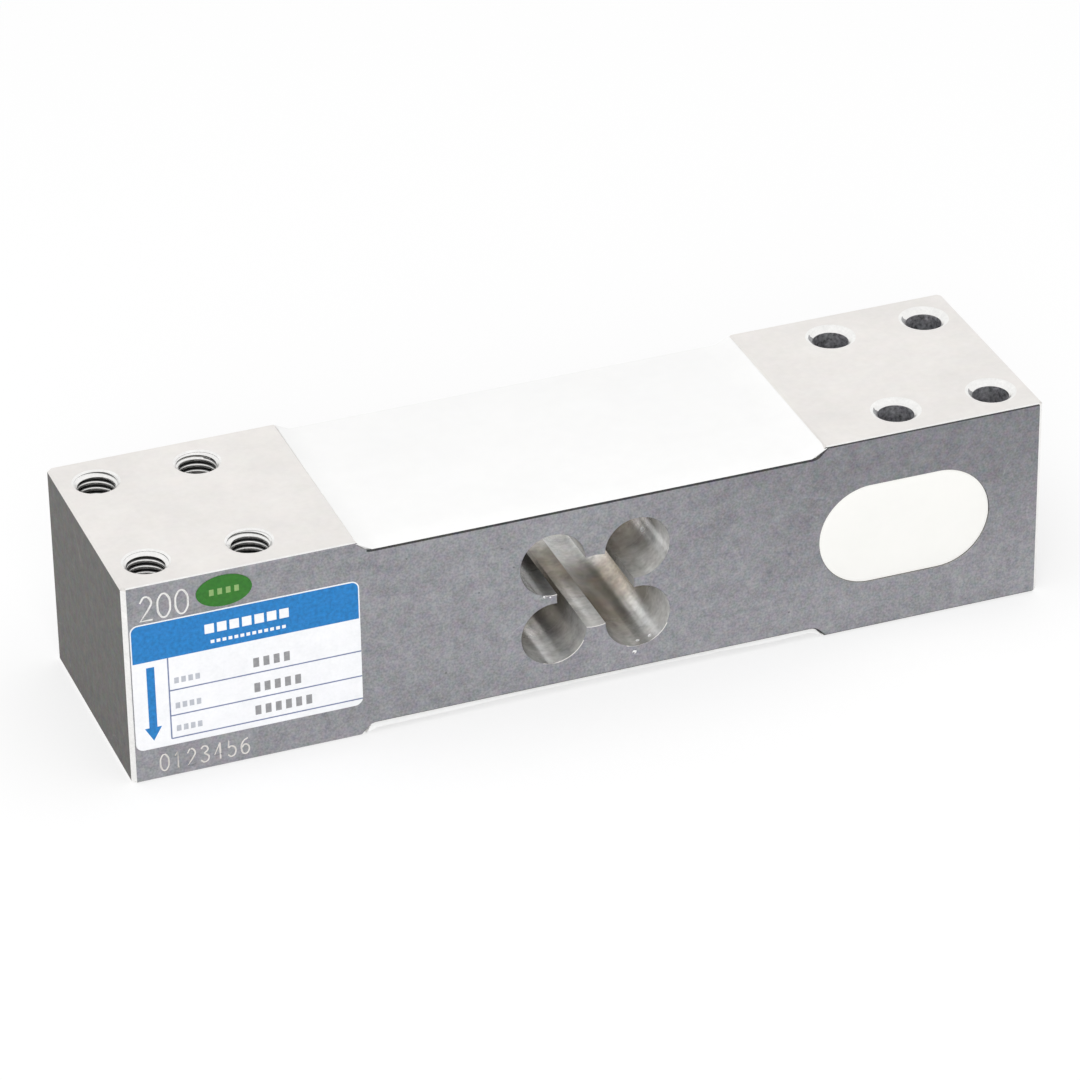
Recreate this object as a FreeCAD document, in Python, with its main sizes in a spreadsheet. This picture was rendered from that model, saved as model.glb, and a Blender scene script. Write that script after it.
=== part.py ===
import FreeCAD, Part
import math
import os

import Sketcher
from FreeCAD import Placement, Rotation, Vector

# Single point load cell: one machined aluminium block with a clover-shaped cavity through its middle.
# Foil strain gauges sit on the thin webs above and below the cavity, under white silicone.
# Their wires run to a small board in a potted side pocket near the fixed end.
# Frame: origin at the middle of the bottom face, +X towards the fixed end (the pocket), the
# labelled face towards -Y, +Z up. All lengths are in millimetres.

SIZES = [
    # the block
    ("block_length", 176.0, "overall length along X"),
    ("block_width", 46.0, "overall width along Y"),
    ("block_height", 40.0, "height over the mounting pads"),
    ("recess_depth", 2.0, "depth of the top and bottom recesses below the pads"),
    ("pad_length", 43.0, "length of each mounting pad, from the end face to the ramp"),
    ("foot_radius", 2.0, "cutter radius left at the foot of each 45 degree ramp"),
    ("corner_chamfer", 0.8, "chamfer on the four upright corners"),
    ("edge_break", 0.35, "small chamfer along the other outer edges"),
    # the clover cavity
    ("lobe_radius", 6.25, "radius of the four outer bores of the cavity"),
    ("lobe_offset_x", 8.1, "lobe centre from mid length"),
    ("lobe_offset_z", 7.15, "lobe centre from mid height"),
    ("core_radius", 7.45, "radius of the middle bore of the cavity"),
    # mounting holes
    ("bolt_pitch_x", 19.0, "hole spacing along the block"),
    ("bolt_pitch_y", 30.0, "hole spacing across the block"),
    ("bolt_margin", 7.0, "hole centre to the nearer end face"),
    ("thread_major_radius", 4.0, "wall of the M8 holes, at the thread's major radius"),
    ("thread_mouth_radius", 4.3, "countersink radius of the M8 holes"),
    ("pilot_radius", 3.4, "plain holes in the top of the fixed end"),
    ("pilot_mouth_radius", 4.4, "countersink radius of the plain holes"),
    ("blind_depth", 8.0, "depth of the blind holes in the fixed end"),
    # the wiring pocket and its passages
    ("pocket_length", 34.0, "overall length of the oblong pocket"),
    ("pocket_height", 20.5, "height of the oblong pocket"),
    ("pocket_margin", 10.4, "end face to the nearer end of the pocket"),
    ("pocket_depth", 30.0, "depth of the pocket from the labelled face"),
    ("outlet_radius", 3.1, "cable outlet bore in the end face"),
    ("outlet_mouth", 0.5, "chamfer at the mouth of the cable outlet"),
    ("wire_hole_radius", 1.5, "slanted wire holes from the recess floors"),
    ("wire_hole_margin", 5.0, "wire hole entry from the ramp's foot"),
    ("wire_hole_y", 13.0, "wire hole entry from mid width, towards the labelled face"),
    # silicone over the gauges and potting in the pocket
    ("seal_edge", 0.4, "thickness of the gauge seal at its long edges"),
    ("seal_crown", 1.0, "thickness of the gauge seal at mid width"),
    ("seal_margin", 0.4, "seal's long edge to the side face"),
    ("potting_setback", 0.2, "potting face below the labelled face"),
    ("socket_depth", 3.0, "the cable's place left open in the potting, past the outlet"),
    ("socket_clearance", 0.2, "that place's wall beyond the outlet's"),
    # strain gauges
    ("film_length", 7.0, "gauge carrier film along X"),
    ("film_width", 6.0, "gauge carrier film along Y"),
    ("film_thick", 0.06, "carrier film thickness, also under the terminals"),
    ("foil_thick", 0.03, "metal foil thickness, also of the copper pads"),
    ("grid_length", 3.6, "length of the gauge grid's strands"),
    ("strand_width", 0.25, "width of one strand"),
    ("strand_gap", 0.2, "gap between strands"),
    ("grid_loops", 3, "loops of the grid; it has one strand more than twice this"),
    ("tab_length", 1.1, "gauge solder tab along X"),
    ("tab_width", 1.3, "gauge solder tab along Y"),
    # bondable terminals
    ("strip_length", 10.0, "terminal strip film along X"),
    ("strip_width", 4.0, "terminal strip film along Y"),
    ("strip_offset", 8.0, "terminal strip from mid width, towards the labelled face"),
    ("terminal_pitch", 3.2, "spacing of the three copper terminals"),
    ("terminal_length", 2.0, "one copper terminal along X"),
    ("terminal_width", 2.8, "one copper terminal along Y"),
    # wires and solder
    ("jumper_radius", 0.1, "bare jumper from a gauge tab to a terminal"),
    ("wire_radius", 0.15, "enamelled wire from a terminal to the board"),
    ("wire_bend", 0.8, "bend radius of the enamelled wires"),
    ("wire_lift", 0.06, "wires and jumpers above the copper that they are soldered to"),
    ("lane_pitch", 0.9, "spacing of the three wires side by side"),
    ("joint_radius", 0.45, "solder joint radius"),
    ("joint_spread", 0.8, "solder joints on one terminal, from its middle"),
    # the junction board and what is on it
    ("board_length", 28.0, "board along X"),
    ("board_height", 13.0, "board along Z"),
    ("board_thick", 1.0, "board thickness"),
    ("board_gap", 1.1, "board face beyond the nearest of the wires"),
    ("wire_pad", 1.6, "square pad for one enamelled wire"),
    ("wire_pad_step", 2.5, "spacing of the wire pads along the wire hole's line"),
    ("wire_pad_first", 1.5, "nearest wire pad to the centre of the pocket's rounded end"),
    ("cable_pad_pitch", 2.8, "spacing of the four cable pads"),
    ("cable_pad_inset", 3.0, "cable pads from the board's end"),
    ("chip_length", 3.2, "trim resistor along Z"),
    ("chip_width", 1.6, "trim resistor along X"),
    ("chip_height", 0.6, "trim resistor off the board"),
    ("chip_pitch", 3.6, "spacing of the three trim resistors"),
    # stickers
    ("label_inset", 1.0, "type label's edge from the end face"),
    ("label_length", 42.3, "type label along X"),
    ("label_height", 25.8, "type label along Z"),
    ("label_drop", 7.6, "type label's upper edge below the pad"),
    ("label_corner", 1.5, "corner radius of the type label"),
    ("sticker_thick", 0.1, "thickness of both stickers"),
    ("oval_inset", 18.5, "oval sticker's centre from the end face"),
    ("oval_gap", 0.5, "oval sticker above the type label"),
    ("oval_length", 10.3, "oval sticker along X"),
    ("oval_height", 6.2, "oval sticker along Z"),
]

doc = FreeCAD.newDocument("single_point_load_cell")
sheet = doc.addObject("Spreadsheet::Sheet", "sizes")
for row, (alias, value, note) in enumerate(SIZES, start=1):
    sheet.set(f"A{row}", note)
    sheet.set(f"B{row}", str(value))
    sheet.setAlias(f"B{row}", alias)
doc.recompute()

PARTS = []


def size(alias):
    """The value of one cell of the sheet, in millimetres."""
    return float(getattr(sheet, alias))


def bind(thing, **expressions):
    """Ties properties to the sheet; a double underscore in a keyword stands for a dot."""
    for name, expression in expressions.items():
        thing.setExpression(name.replace("__", "."), expression)


def worked(expression):
    """The present value of an expression on the sheet."""
    return float(sheet.evalExpression(expression))


def keep(thing, name):
    """Lists an object as one of the finished pieces, under the name of its node."""
    thing.Label = name
    PARTS.append(thing)
    return thing


# ---------------------------------------------------------------- sketches

def sketch_on(body, plane, name, lift=None):
    """A sketch on one of the body's own origin planes, lifted along that plane's normal."""
    sketch = body.newObject("Sketcher::SketchObject", name)
    support = [f for f in body.Origin.OriginFeatures if f.Role == plane][0]
    sketch.AttachmentSupport = (support, [""])
    sketch.MapMode = "FlatFace"
    if lift:
        sketch.setExpression("AttachmentOffset.Base.z", lift)
    return sketch


def pin_point(sketch, geometry, point, across, up):
    """Fixes one point of the sketch by two expressions, measured from the sketch's origin."""
    for kind, expression in (("DistanceX", across), ("DistanceY", up)):
        constraint = Sketcher.Constraint(kind, -1, 1, geometry, point, worked(expression))
        index = sketch.addConstraint(constraint)
        sketch.setExpression(f"Constraints[{index}]", expression)


def draw_circle(sketch, across, up, radius):
    centre = Vector(worked(across), worked(up), 0)
    circle = sketch.addGeometry(Part.Circle(centre, Vector(0, 0, 1), worked(radius)), False)
    pin_point(sketch, circle, 3, across, up)
    index = sketch.addConstraint(Sketcher.Constraint("Radius", circle, worked(radius)))
    sketch.setExpression(f"Constraints[{index}]", radius)


def draw_outline(sketch, corners):
    """A closed outline of straight lines; each corner is a pair of expressions."""
    places = [Vector(worked(across), worked(up), 0) for across, up in corners]
    for index, place in enumerate(places):
        following = places[(index + 1) % len(places)]
        sketch.addGeometry(Part.LineSegment(place, following), False)
    for index, (across, up) in enumerate(corners):
        before = (index - 1) % len(corners)
        sketch.addConstraint(Sketcher.Constraint("Coincident", before, 2, index, 1))
        pin_point(sketch, index, 1, across, up)


def draw_slot(sketch, half_straight, middle_x, middle_z, radius):
    """A level slot: two lines joined by two half circles. All four values are expressions."""
    reach, x, z, r = (worked(e) for e in (half_straight, middle_x, middle_z, radius))
    left = Vector(x - reach, z, 0)
    right = Vector(x + reach, z, 0)
    axis = Vector(0, 0, 1)
    up = Vector(0, r, 0)
    top = sketch.addGeometry(Part.LineSegment(left + up, right + up), False)
    half_turn = math.pi / 2
    right_end = Part.ArcOfCircle(Part.Circle(right, axis, r), -half_turn, half_turn)
    right_arc = sketch.addGeometry(right_end, False)
    bottom = sketch.addGeometry(Part.LineSegment(right - up, left - up), False)
    left_end = Part.ArcOfCircle(Part.Circle(left, axis, r), half_turn, 3 * half_turn)
    left_arc = sketch.addGeometry(left_end, False)
    for first, first_end, second, second_end in (
        (top, 2, right_arc, 2),
        (right_arc, 1, bottom, 1),
        (bottom, 2, left_arc, 2),
        (left_arc, 1, top, 1),
    ):
        tangent = Sketcher.Constraint("Tangent", first, first_end, second, second_end)
        sketch.addConstraint(tangent)
    pin_point(sketch, right_arc, 3, f"{middle_x} + {half_straight}", middle_z)
    pin_point(sketch, left_arc, 3, f"{middle_x} - {half_straight}", middle_z)
    sketch.addConstraint(Sketcher.Constraint("Equal", left_arc, right_arc))
    index = sketch.addConstraint(Sketcher.Constraint("Radius", right_arc, r))
    sketch.setExpression(f"Constraints[{index}]", radius)


def pad(body, sketch, name, length, both_ways=False):
    feature = body.newObject("PartDesign::Pad", name)
    feature.Profile = sketch
    if both_ways:
        feature.SideType = "Symmetric"
    feature.setExpression("Length", length)
    return feature


def cut_from(body, sketch, name, depth=None, against=False):
    """A pocket: through all both ways if it has no depth. It must take volume away."""
    doc.recompute()
    before = body.Shape.Volume
    feature = body.newObject("PartDesign::Pocket", name)
    feature.Profile = sketch
    if depth is None:
        feature.Type = "ThroughAll"
        feature.SideType = "Symmetric"
    else:
        feature.setExpression("Length", depth)
        feature.Reversed = against
    doc.recompute()
    if not body.Shape.Volume < before:
        raise RuntimeError(f"{name} cuts nothing")
    return feature


def edges_where(shape, test):
    """The names of a shape's edges that pass a test."""
    return [f"Edge{i}" for i, edge in enumerate(shape.Edges, start=1) if test(edge)]


def near(first, second):
    return abs(first - second) < 1e-4


# ---------------------------------------------------------------- the block

HALF_LENGTH = "sizes.block_length / 2"
HALF_WIDTH = "sizes.block_width / 2"
MID_HEIGHT = "sizes.block_height / 2"
RAMP_TOP = f"({HALF_LENGTH} - sizes.pad_length)"
RAMP_FOOT = f"({RAMP_TOP} - sizes.recess_depth)"
FLOOR_TOP = "(sizes.block_height - sizes.recess_depth)"
BOLT_X = f"({HALF_LENGTH} - sizes.bolt_margin - sizes.bolt_pitch_x / 2)"
POCKET_RADIUS = "sizes.pocket_height / 2"
POCKET_X = f"({HALF_LENGTH} - sizes.pocket_margin - sizes.pocket_length / 2)"
POCKET_REACH = "(sizes.pocket_length - sizes.pocket_height) / 2"
WIRE_HOLE_X = f"({RAMP_FOOT} - sizes.wire_hole_margin)"
POCKET_START = f"({POCKET_X} - {POCKET_REACH})"
POCKET_FINISH = f"({POCKET_X} + {POCKET_REACH})"


def block_profile():
    """The side outline: pads at both ends, top and bottom, and a shallow recess between."""
    top = "sizes.block_height"
    floor = "sizes.recess_depth"
    return [
        (f"-({HALF_LENGTH})", "0"),
        (f"-{RAMP_TOP}", "0"),
        (f"-{RAMP_FOOT}", floor),
        (RAMP_FOOT, floor),
        (RAMP_TOP, "0"),
        (HALF_LENGTH, "0"),
        (HALF_LENGTH, top),
        (RAMP_TOP, top),
        (RAMP_FOOT, FLOOR_TOP),
        (f"-{RAMP_FOOT}", FLOOR_TOP),
        (f"-{RAMP_TOP}", top),
        (f"-({HALF_LENGTH})", top),
    ]


def dress(body, kind, name, length_property, length, test):
    """A chamfer or fillet on the edges of the body's tip that pass a test."""
    doc.recompute()
    base = body.Tip
    names = edges_where(base.Shape, test)
    if not names:
        raise RuntimeError(f"{name} finds no edge")
    feature = body.newObject(kind, name)
    feature.Base = (base, names)
    feature.setExpression(length_property, length)
    doc.recompute()
    return feature


def is_ramp_foot(edge):
    """An edge across the block where a ramp meets a recess floor."""
    place = edge.CenterOfMass
    level = near(place.z, size("recess_depth")) or near(place.z, worked(FLOOR_TOP))
    return level and near(place.y, 0) and near(abs(place.x), worked(RAMP_FOOT))


def is_upright_corner(edge):
    box = edge.BoundBox
    at_end = near(box.XMin, box.XMax) and near(abs(box.XMin), worked(HALF_LENGTH))
    at_side = near(box.YMin, box.YMax) and near(abs(box.YMin), worked(HALF_WIDTH))
    return at_end and at_side


def is_outer_edge(edge):
    """Any edge that bounds a side face, or a pad where it meets an end face."""
    box = edge.BoundBox
    side = near(box.YMin, box.YMax) and near(abs(box.YMin), worked(HALF_WIDTH))
    level = near(box.ZMin, box.ZMax)
    pad_height = near(box.ZMin, 0) or near(box.ZMin, size("block_height"))
    beyond_corners = abs(box.XMin) > worked(HALF_LENGTH) - size("corner_chamfer") - 1e-4
    beyond_corners = beyond_corners and abs(box.XMax) > worked(RAMP_TOP) + 1e-4
    at_end = level and pad_height and beyond_corners and box.XLength < size("corner_chamfer") + 1e-4
    upright = box.ZLength > size("block_height") / 2
    return (side and not upright) or at_end


def four_circles(sketch, middle_x, pitch_x, middle_y, pitch_y, radius):
    """Four like circles at the corners of a rectangle."""
    for across in ("-", "+"):
        for up in ("-", "+"):
            x = f"{middle_x} {across} {pitch_x} / 2"
            y = f"{middle_y} {up} {pitch_y} / 2"
            draw_circle(sketch, x, y, radius)


def countersunk_holes(body, name, middle_x, lift, radius, mouth, depth=None, against=False):
    """Four bolt holes with a 45 degree chamfer at each mouth, through the block or blind."""
    sketch = sketch_on(body, "XY_Plane", f"{name}_places", lift)
    grid = (middle_x, "sizes.bolt_pitch_x", "0", "sizes.bolt_pitch_y")
    four_circles(sketch, *grid, radius)
    cut_from(body, sketch, name, depth, against)
    levels = [worked(lift)] if depth else [0, size("block_height")]

    def is_mouth(edge):
        if not hasattr(edge.Curve, "Radius"):
            return False
        box = edge.BoundBox
        level = near(box.ZMin, box.ZMax) and any(near(box.ZMin, z) for z in levels)
        return level and near(edge.Curve.Radius, worked(radius))

    dress(body, "PartDesign::Chamfer", f"{name}_mouths", "Size", f"{mouth} - {radius}", is_mouth)


def make_spring_element():
    body = doc.addObject("PartDesign::Body", "spring_element_body")
    profile = sketch_on(body, "XZ_Plane", "side_profile")
    draw_outline(profile, block_profile())
    pad(body, profile, "billet", "sizes.block_width", both_ways=True)
    dress(body, "PartDesign::Fillet", "ramp_feet", "Radius", "sizes.foot_radius", is_ramp_foot)
    chamfer = "PartDesign::Chamfer"
    corner = "sizes.corner_chamfer"
    dress(body, chamfer, "upright_corners", "Size", corner, is_upright_corner)
    dress(body, chamfer, "broken_edges", "Size", "sizes.edge_break", is_outer_edge)

    lobes = sketch_on(body, "XZ_Plane", "cavity_lobe_places")
    spacing = ("0", "(2 * sizes.lobe_offset_x)", MID_HEIGHT, "(2 * sizes.lobe_offset_z)")
    four_circles(lobes, *spacing, "sizes.lobe_radius")
    cut_from(body, lobes, "cavity_lobes")
    core = sketch_on(body, "XZ_Plane", "cavity_core_place")
    draw_circle(core, "0", MID_HEIGHT, "sizes.core_radius")
    cut_from(body, core, "cavity_core")

    pocket = sketch_on(body, "XZ_Plane", "pocket_outline", HALF_WIDTH)
    draw_slot(pocket, POCKET_REACH, POCKET_X, MID_HEIGHT, POCKET_RADIUS)
    cut_from(body, pocket, "wiring_pocket", "sizes.pocket_depth")
    outlet = sketch_on(body, "YZ_Plane", "outlet_place", HALF_LENGTH)
    draw_circle(outlet, "0", MID_HEIGHT, "sizes.outlet_radius")
    cut_from(body, outlet, "cable_outlet", f"{HALF_LENGTH} - {POCKET_FINISH}")

    def is_outlet_mouth(edge):
        box = edge.BoundBox
        return near(box.XMin, worked(HALF_LENGTH)) and hasattr(edge.Curve, "Radius")

    mouth = "sizes.outlet_mouth"
    dress(body, chamfer, "cable_outlet_mouth", "Size", mouth, is_outlet_mouth)

    thread = "sizes.thread_major_radius"
    thread_mouth = "sizes.thread_mouth_radius"
    pilot = "sizes.pilot_radius"
    pilot_mouth = "sizes.pilot_mouth_radius"
    blind = "sizes.blind_depth"
    top = "sizes.block_height"
    countersunk_holes(body, "load_end_holes", f"-{BOLT_X}", "0", thread, thread_mouth)
    countersunk_holes(body, "fixed_end_holes", BOLT_X, "0", thread, thread_mouth, blind, True)
    countersunk_holes(body, "pilot_holes", BOLT_X, top, pilot, pilot_mouth, blind)
    wire_passage(body, "top_wire_hole", 1)
    wire_passage(body, "bottom_wire_hole", -1)
    return keep(body, "spring_element")


# The slanted wire holes aim at the centre of the pocket's nearer rounded end.
PASSAGE_RUN = f"({POCKET_START} - {WIRE_HOLE_X})"
PASSAGE_DROP = f"({FLOOR_TOP} - {MID_HEIGHT})"
PASSAGE_LENGTH = f"sqrt({PASSAGE_RUN} ^ 2 + {PASSAGE_DROP} ^ 2)"


def wire_passage(body, name, side):
    """One slanted hole, drilled from its inner end outwards past the recess floor."""
    doc.recompute()
    before = body.Shape.Volume
    drill = body.newObject("PartDesign::SubtractiveCylinder", name)
    drill.Placement = Placement(Vector(), Rotation(Vector(0, -1, 0), 90))
    slope = f"atan2({PASSAGE_RUN}; {PASSAGE_DROP})"
    turn = slope if side > 0 else f"180 deg - {slope}"
    bind(
        drill,
        Radius="sizes.wire_hole_radius",
        Height=f"{PASSAGE_LENGTH} + 2 * sizes.wire_hole_radius",
        Placement__Base__x=POCKET_START,
        Placement__Base__y="-sizes.wire_hole_y",
        Placement__Base__z=MID_HEIGHT,
        Placement__Rotation__Angle=turn,
    )
    doc.recompute()
    if not body.Shape.Volume < before:
        raise RuntimeError(f"{name} cuts nothing")


# ---------------------------------------------------------------- gauges and terminals

FILM_LEVEL = f"({FLOOR_TOP} + sizes.film_thick)"
PAD_LEVEL = f"({FILM_LEVEL} + sizes.foil_thick)"
STRIP_Y = "(-sizes.strip_offset)"


def slab(name, middle_x, middle_y, level, length, width, thick):
    """A flat rectangle lying at a level, placed by its middle. All values are expressions."""
    box = doc.addObject("Part::Box", name)
    bind(
        box,
        Length=length,
        Width=width,
        Height=thick,
        Placement__Base__x=f"{middle_x} - {length} / 2",
        Placement__Base__y=f"{middle_y} - {width} / 2",
        Placement__Base__z=level,
    )
    return box


def plate(name, middle_x, front_y, middle_z, length, thick, height):
    """A flat rectangle standing parallel to the labelled face. All values are expressions."""
    box = doc.addObject("Part::Box", name)
    bind(
        box,
        Length=length,
        Width=thick,
        Height=height,
        Placement__Base__x=f"{middle_x} - {length} / 2",
        Placement__Base__y=front_y,
        Placement__Base__z=f"{middle_z} - {height} / 2",
    )
    return box


def group_of(name, members):
    """Several separate solids kept in one node."""
    group = doc.addObject("Part::Compound", name)
    group.Links = members
    return group


def made_shape(name, shape):
    """A piece worked out by Part's own functions from the sheet's values."""
    feature = doc.addObject("Part::Feature", name)
    feature.Shape = shape
    feature.Placement = Placement()
    return feature


def cut_out(name, base, tools):
    """The base less other pieces, one after another, so that they fit it face to face."""
    for index, tool in enumerate(tools, start=1):
        cut = doc.addObject("Part::Cut", f"{name}_cut_{index}")
        cut.Base = base
        cut.Tool = tool
        base = cut
    return base


def grid_span():
    """The whole width of a gauge's foil, strands, gap and tabs together."""
    strands = 2 * int(size("grid_loops")) + 1
    strand_rows = strands * size("strand_width") + (strands - 1) * size("strand_gap")
    return strand_rows + size("strand_gap") + size("tab_width")


def tab_centres(side):
    """The centres of the two solder tabs of the gauge on one side of mid length."""
    middle = side * size("lobe_offset_x")
    spread = (size("grid_length") - size("tab_length")) / 2
    y = (size("tab_width") - grid_span()) / 2
    return [(middle - spread, y), (middle + spread, y)]


def gauge_grid(side):
    """The etched foil: strands along X joined end to end, with a tab at each end of the path."""
    strand = size("strand_width")
    gap = size("strand_gap")
    length = size("grid_length")
    strands = 2 * int(size("grid_loops")) + 1
    left = side * size("lobe_offset_x") - length / 2
    right = left + length
    low = -grid_span() / 2
    first = low + size("tab_width") + gap
    last = first + (strands - 1) * (strand + gap)
    tabs = [
        (left, low, size("tab_length"), size("tab_width")),
        (right - size("tab_length"), low, size("tab_length"), size("tab_width")),
    ]
    path = [(left, first - gap, strand, gap)]
    for index in range(strands):
        y = first + index * (strand + gap)
        path.append((left, y, length, strand))
        if index < strands - 1:
            end = left if index % 2 else right - strand
            path.append((end, y, strand, 2 * strand + gap))
    back = [
        (right, last, gap + strand, strand),
        (right + gap, low, strand, last + strand - low),
        (right, low, gap + strand, strand),
    ]
    level = worked(FILM_LEVEL)
    boxes = []
    for x, y, along, across in tabs + path + back:
        boxes.append(Part.makeBox(along, across, size("foil_thick"), Vector(x, y, level)))
    return boxes[0].multiFuse(boxes[1:]).removeSplitter()


def make_gauges():
    """Two gauges, each over a thin web: a carrier film bonded to the block, and its foil."""
    films, foils = [], []
    for side, end in ((-1, "load_end"), (1, "fixed_end")):
        middle = f"{side} * sizes.lobe_offset_x"
        flat = (middle, "0", FLOOR_TOP, "sizes.film_length", "sizes.film_width")
        film = slab(f"film_{end}", *flat, "sizes.film_thick")
        films.append(keep(film, f"top_{end}_gauge_film"))
        foil = made_shape(f"foil_{end}", gauge_grid(side))
        foils.append(keep(foil, f"top_{end}_gauge_foil"))
    return films + foils


def make_terminals():
    """A strip of film with three copper terminals, beside the gauges."""
    flat = ("0", STRIP_Y, FLOOR_TOP, "sizes.strip_length", "sizes.strip_width")
    strip = keep(slab("strip_film", *flat, "sizes.film_thick"), "top_terminal_film")
    coppers = []
    for place in (-1, 0, 1):
        middle = f"{place} * sizes.terminal_pitch"
        extent = ("sizes.terminal_length", "sizes.terminal_width", "sizes.foil_thick")
        name = f"copper_{place + 2}"
        coppers.append(slab(name, middle, STRIP_Y, FILM_LEVEL, *extent))
    return [strip, keep(group_of("coppers", coppers), "top_terminal_pads")]


# ---------------------------------------------------------------- wires and solder

def round_wire(points, radius, bend):
    """A wire of round section along straight runs joined by tangent arcs."""
    edges = []
    start = points[0]
    for before, corner, after in zip(points, points[1:], points[2:]):
        back = (before - corner).normalize()
        ahead = (after - corner).normalize()
        half = back.getAngle(ahead) / 2
        reach = bend / math.tan(half)
        entry = corner + back * reach
        leave = corner + ahead * reach
        middle_line = (back + ahead).normalize()
        crown = corner + middle_line * (bend / math.sin(half) - bend)
        edges.append(Part.LineSegment(start, entry).toShape())
        edges.append(Part.Arc(entry, crown, leave).toShape())
        start = leave
    edges.append(Part.LineSegment(start, points[-1]).toShape())
    spine = Part.Wire(edges)
    heading = points[1] - points[0]
    section = Part.Wire(Part.Circle(points[0], heading, radius).toShape())
    return spine.makePipeShell([section], True, False)


def terminal_joint(place, row):
    """The middle of a solder joint on a terminal; row is 1 towards the gauges, -1 away."""
    x = place * size("terminal_pitch")
    return x, row * size("joint_spread") - size("strip_offset")


def jumper_ends():
    """Each gauge tab with the place on a terminal that it is joined to."""
    between = size("terminal_length") / 4
    left, right = tab_centres(-1), tab_centres(1)
    near_x, near_y = terminal_joint(0, 1)
    return [
        (left[0], terminal_joint(-1, 1)),
        (left[1], (near_x - between, near_y)),
        (right[0], (near_x + between, near_y)),
        (right[1], terminal_joint(1, 1)),
    ]


def make_jumpers():
    radius = size("jumper_radius")
    level = worked(PAD_LEVEL) + size("wire_lift") + radius
    wires = []
    for start, finish in jumper_ends():
        first = Vector(*start, level)
        run = Vector(*finish, level) - first
        wires.append(Part.makeCylinder(radius, run.Length, first, run))
    shape = Part.makeCompound(wires)
    return keep(made_shape("jumpers", shape), "top_gauge_jumpers")


def board_place(step):
    """The wire pads lie on the line of the wire hole; step 0 is nearest the pocket's middle."""
    away = size("wire_pad_first") + step * size("wire_pad_step")
    share = away / worked(PASSAGE_LENGTH)
    x = worked(POCKET_START) - share * worked(PASSAGE_RUN)
    return x, share * worked(PASSAGE_DROP)


def lane(step):
    """How far out one of the three wires runs, side by side towards the wire hole."""
    return (step - 1) * size("lane_pitch") - size("wire_hole_y")


BOARD_FACE = "(sizes.lane_pitch + sizes.board_gap - sizes.wire_hole_y)"
BOARD_PAD_FACE = f"({BOARD_FACE} - sizes.foil_thick)"


def make_bridge_wires():
    """Three enamelled wires: out from the terminals, along the floor and down the wire hole."""
    radius = size("wire_radius")
    level = worked(PAD_LEVEL) + size("wire_lift") + radius
    above = level - worked(FLOOR_TOP)
    dip = worked(WIRE_HOLE_X) - above * worked(PASSAGE_RUN) / worked(PASSAGE_DROP)
    wires = []
    for step in range(3):
        start = Vector(*terminal_joint(step - 1, -1), level)
        board_x, board_rise = board_place(step)
        board_z = worked(MID_HEIGHT) + board_rise
        route = [
            start,
            Vector(start.x, lane(step), level),
            Vector(dip, lane(step), level),
            Vector(board_x, lane(step), board_z),
            Vector(board_x, worked(BOARD_PAD_FACE), board_z),
        ]
        wires.append(round_wire(route, radius, size("wire_bend")))
    shape = Part.makeCompound(wires)
    return keep(made_shape("enamelled_wires", shape), "top_bridge_wires")


def half_ball(name, place, tip_down_y):
    """One solder joint: half a ball, flat side down on a terminal or on the board's face."""
    ball = doc.addObject("Part::Sphere", name)
    ball.Angle1 = 0
    ball.setExpression("Radius", "sizes.joint_radius")
    turn = Rotation(Vector(1, 0, 0), 90) if tip_down_y else Rotation()
    ball.Placement = Placement(place, turn)
    return ball


def make_gauge_joints(jumpers, wires):
    level = worked(PAD_LEVEL)
    places = [end for pair in jumper_ends() for end in pair]
    places += [terminal_joint(place, -1) for place in (-1, 0, 1)]
    balls = []
    for index, (x, y) in enumerate(places, start=1):
        balls.append(half_ball(f"gauge_solder_{index}", Vector(x, y, level), False))
    solid = group_of("gauge_solder", balls)
    return keep(cut_out("gauge_joints", solid, [jumpers, wires]), "top_solder_joints")


# ---------------------------------------------------------------- mirrored underside

def mirrored(thing, name):
    """The like piece on the underside, mirrored at mid height."""
    twin = doc.addObject("Part::Mirroring", name)
    twin.Source = thing
    twin.Normal = Vector(0, 0, 1)
    twin.setExpression("Base.z", MID_HEIGHT)
    return keep(twin, name)


# ---------------------------------------------------------------- silicone, board, potting

def make_gauge_seal(block, hollows):
    """Silicone poured on the recess floor, level with the ramps' lower part, crowned across."""
    room = "(sizes.block_width - 2 * sizes.seal_margin)"
    rise = "(sizes.seal_crown - sizes.seal_edge)"
    blank = slab("seal_blank", "0", "0", FLOOR_TOP, f"2 * {RAMP_TOP}", room, "sizes.seal_crown")
    arch = doc.addObject("Part::Cylinder", "seal_arch")
    arch.Placement = Placement(Vector(), Rotation(Vector(0, 1, 0), 90))
    radius = f"({room} ^ 2 / 4 + {rise} ^ 2) / (2 * {rise})"
    bind(
        arch,
        Radius=radius,
        Height=f"2 * {RAMP_TOP}",
        Placement__Base__x=f"-{RAMP_TOP}",
        Placement__Base__z=f"{FLOOR_TOP} + sizes.seal_crown - {radius}",
    )
    crowned = doc.addObject("Part::MultiCommon", "seal_crowned")
    crowned.Shapes = [blank, arch]
    fitted = doc.addObject("Part::Cut", "seal_fitted")
    fitted.Base = crowned
    fitted.Tool = block
    return keep(cut_out("seal", fitted, hollows), "top_gauge_seal")


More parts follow.
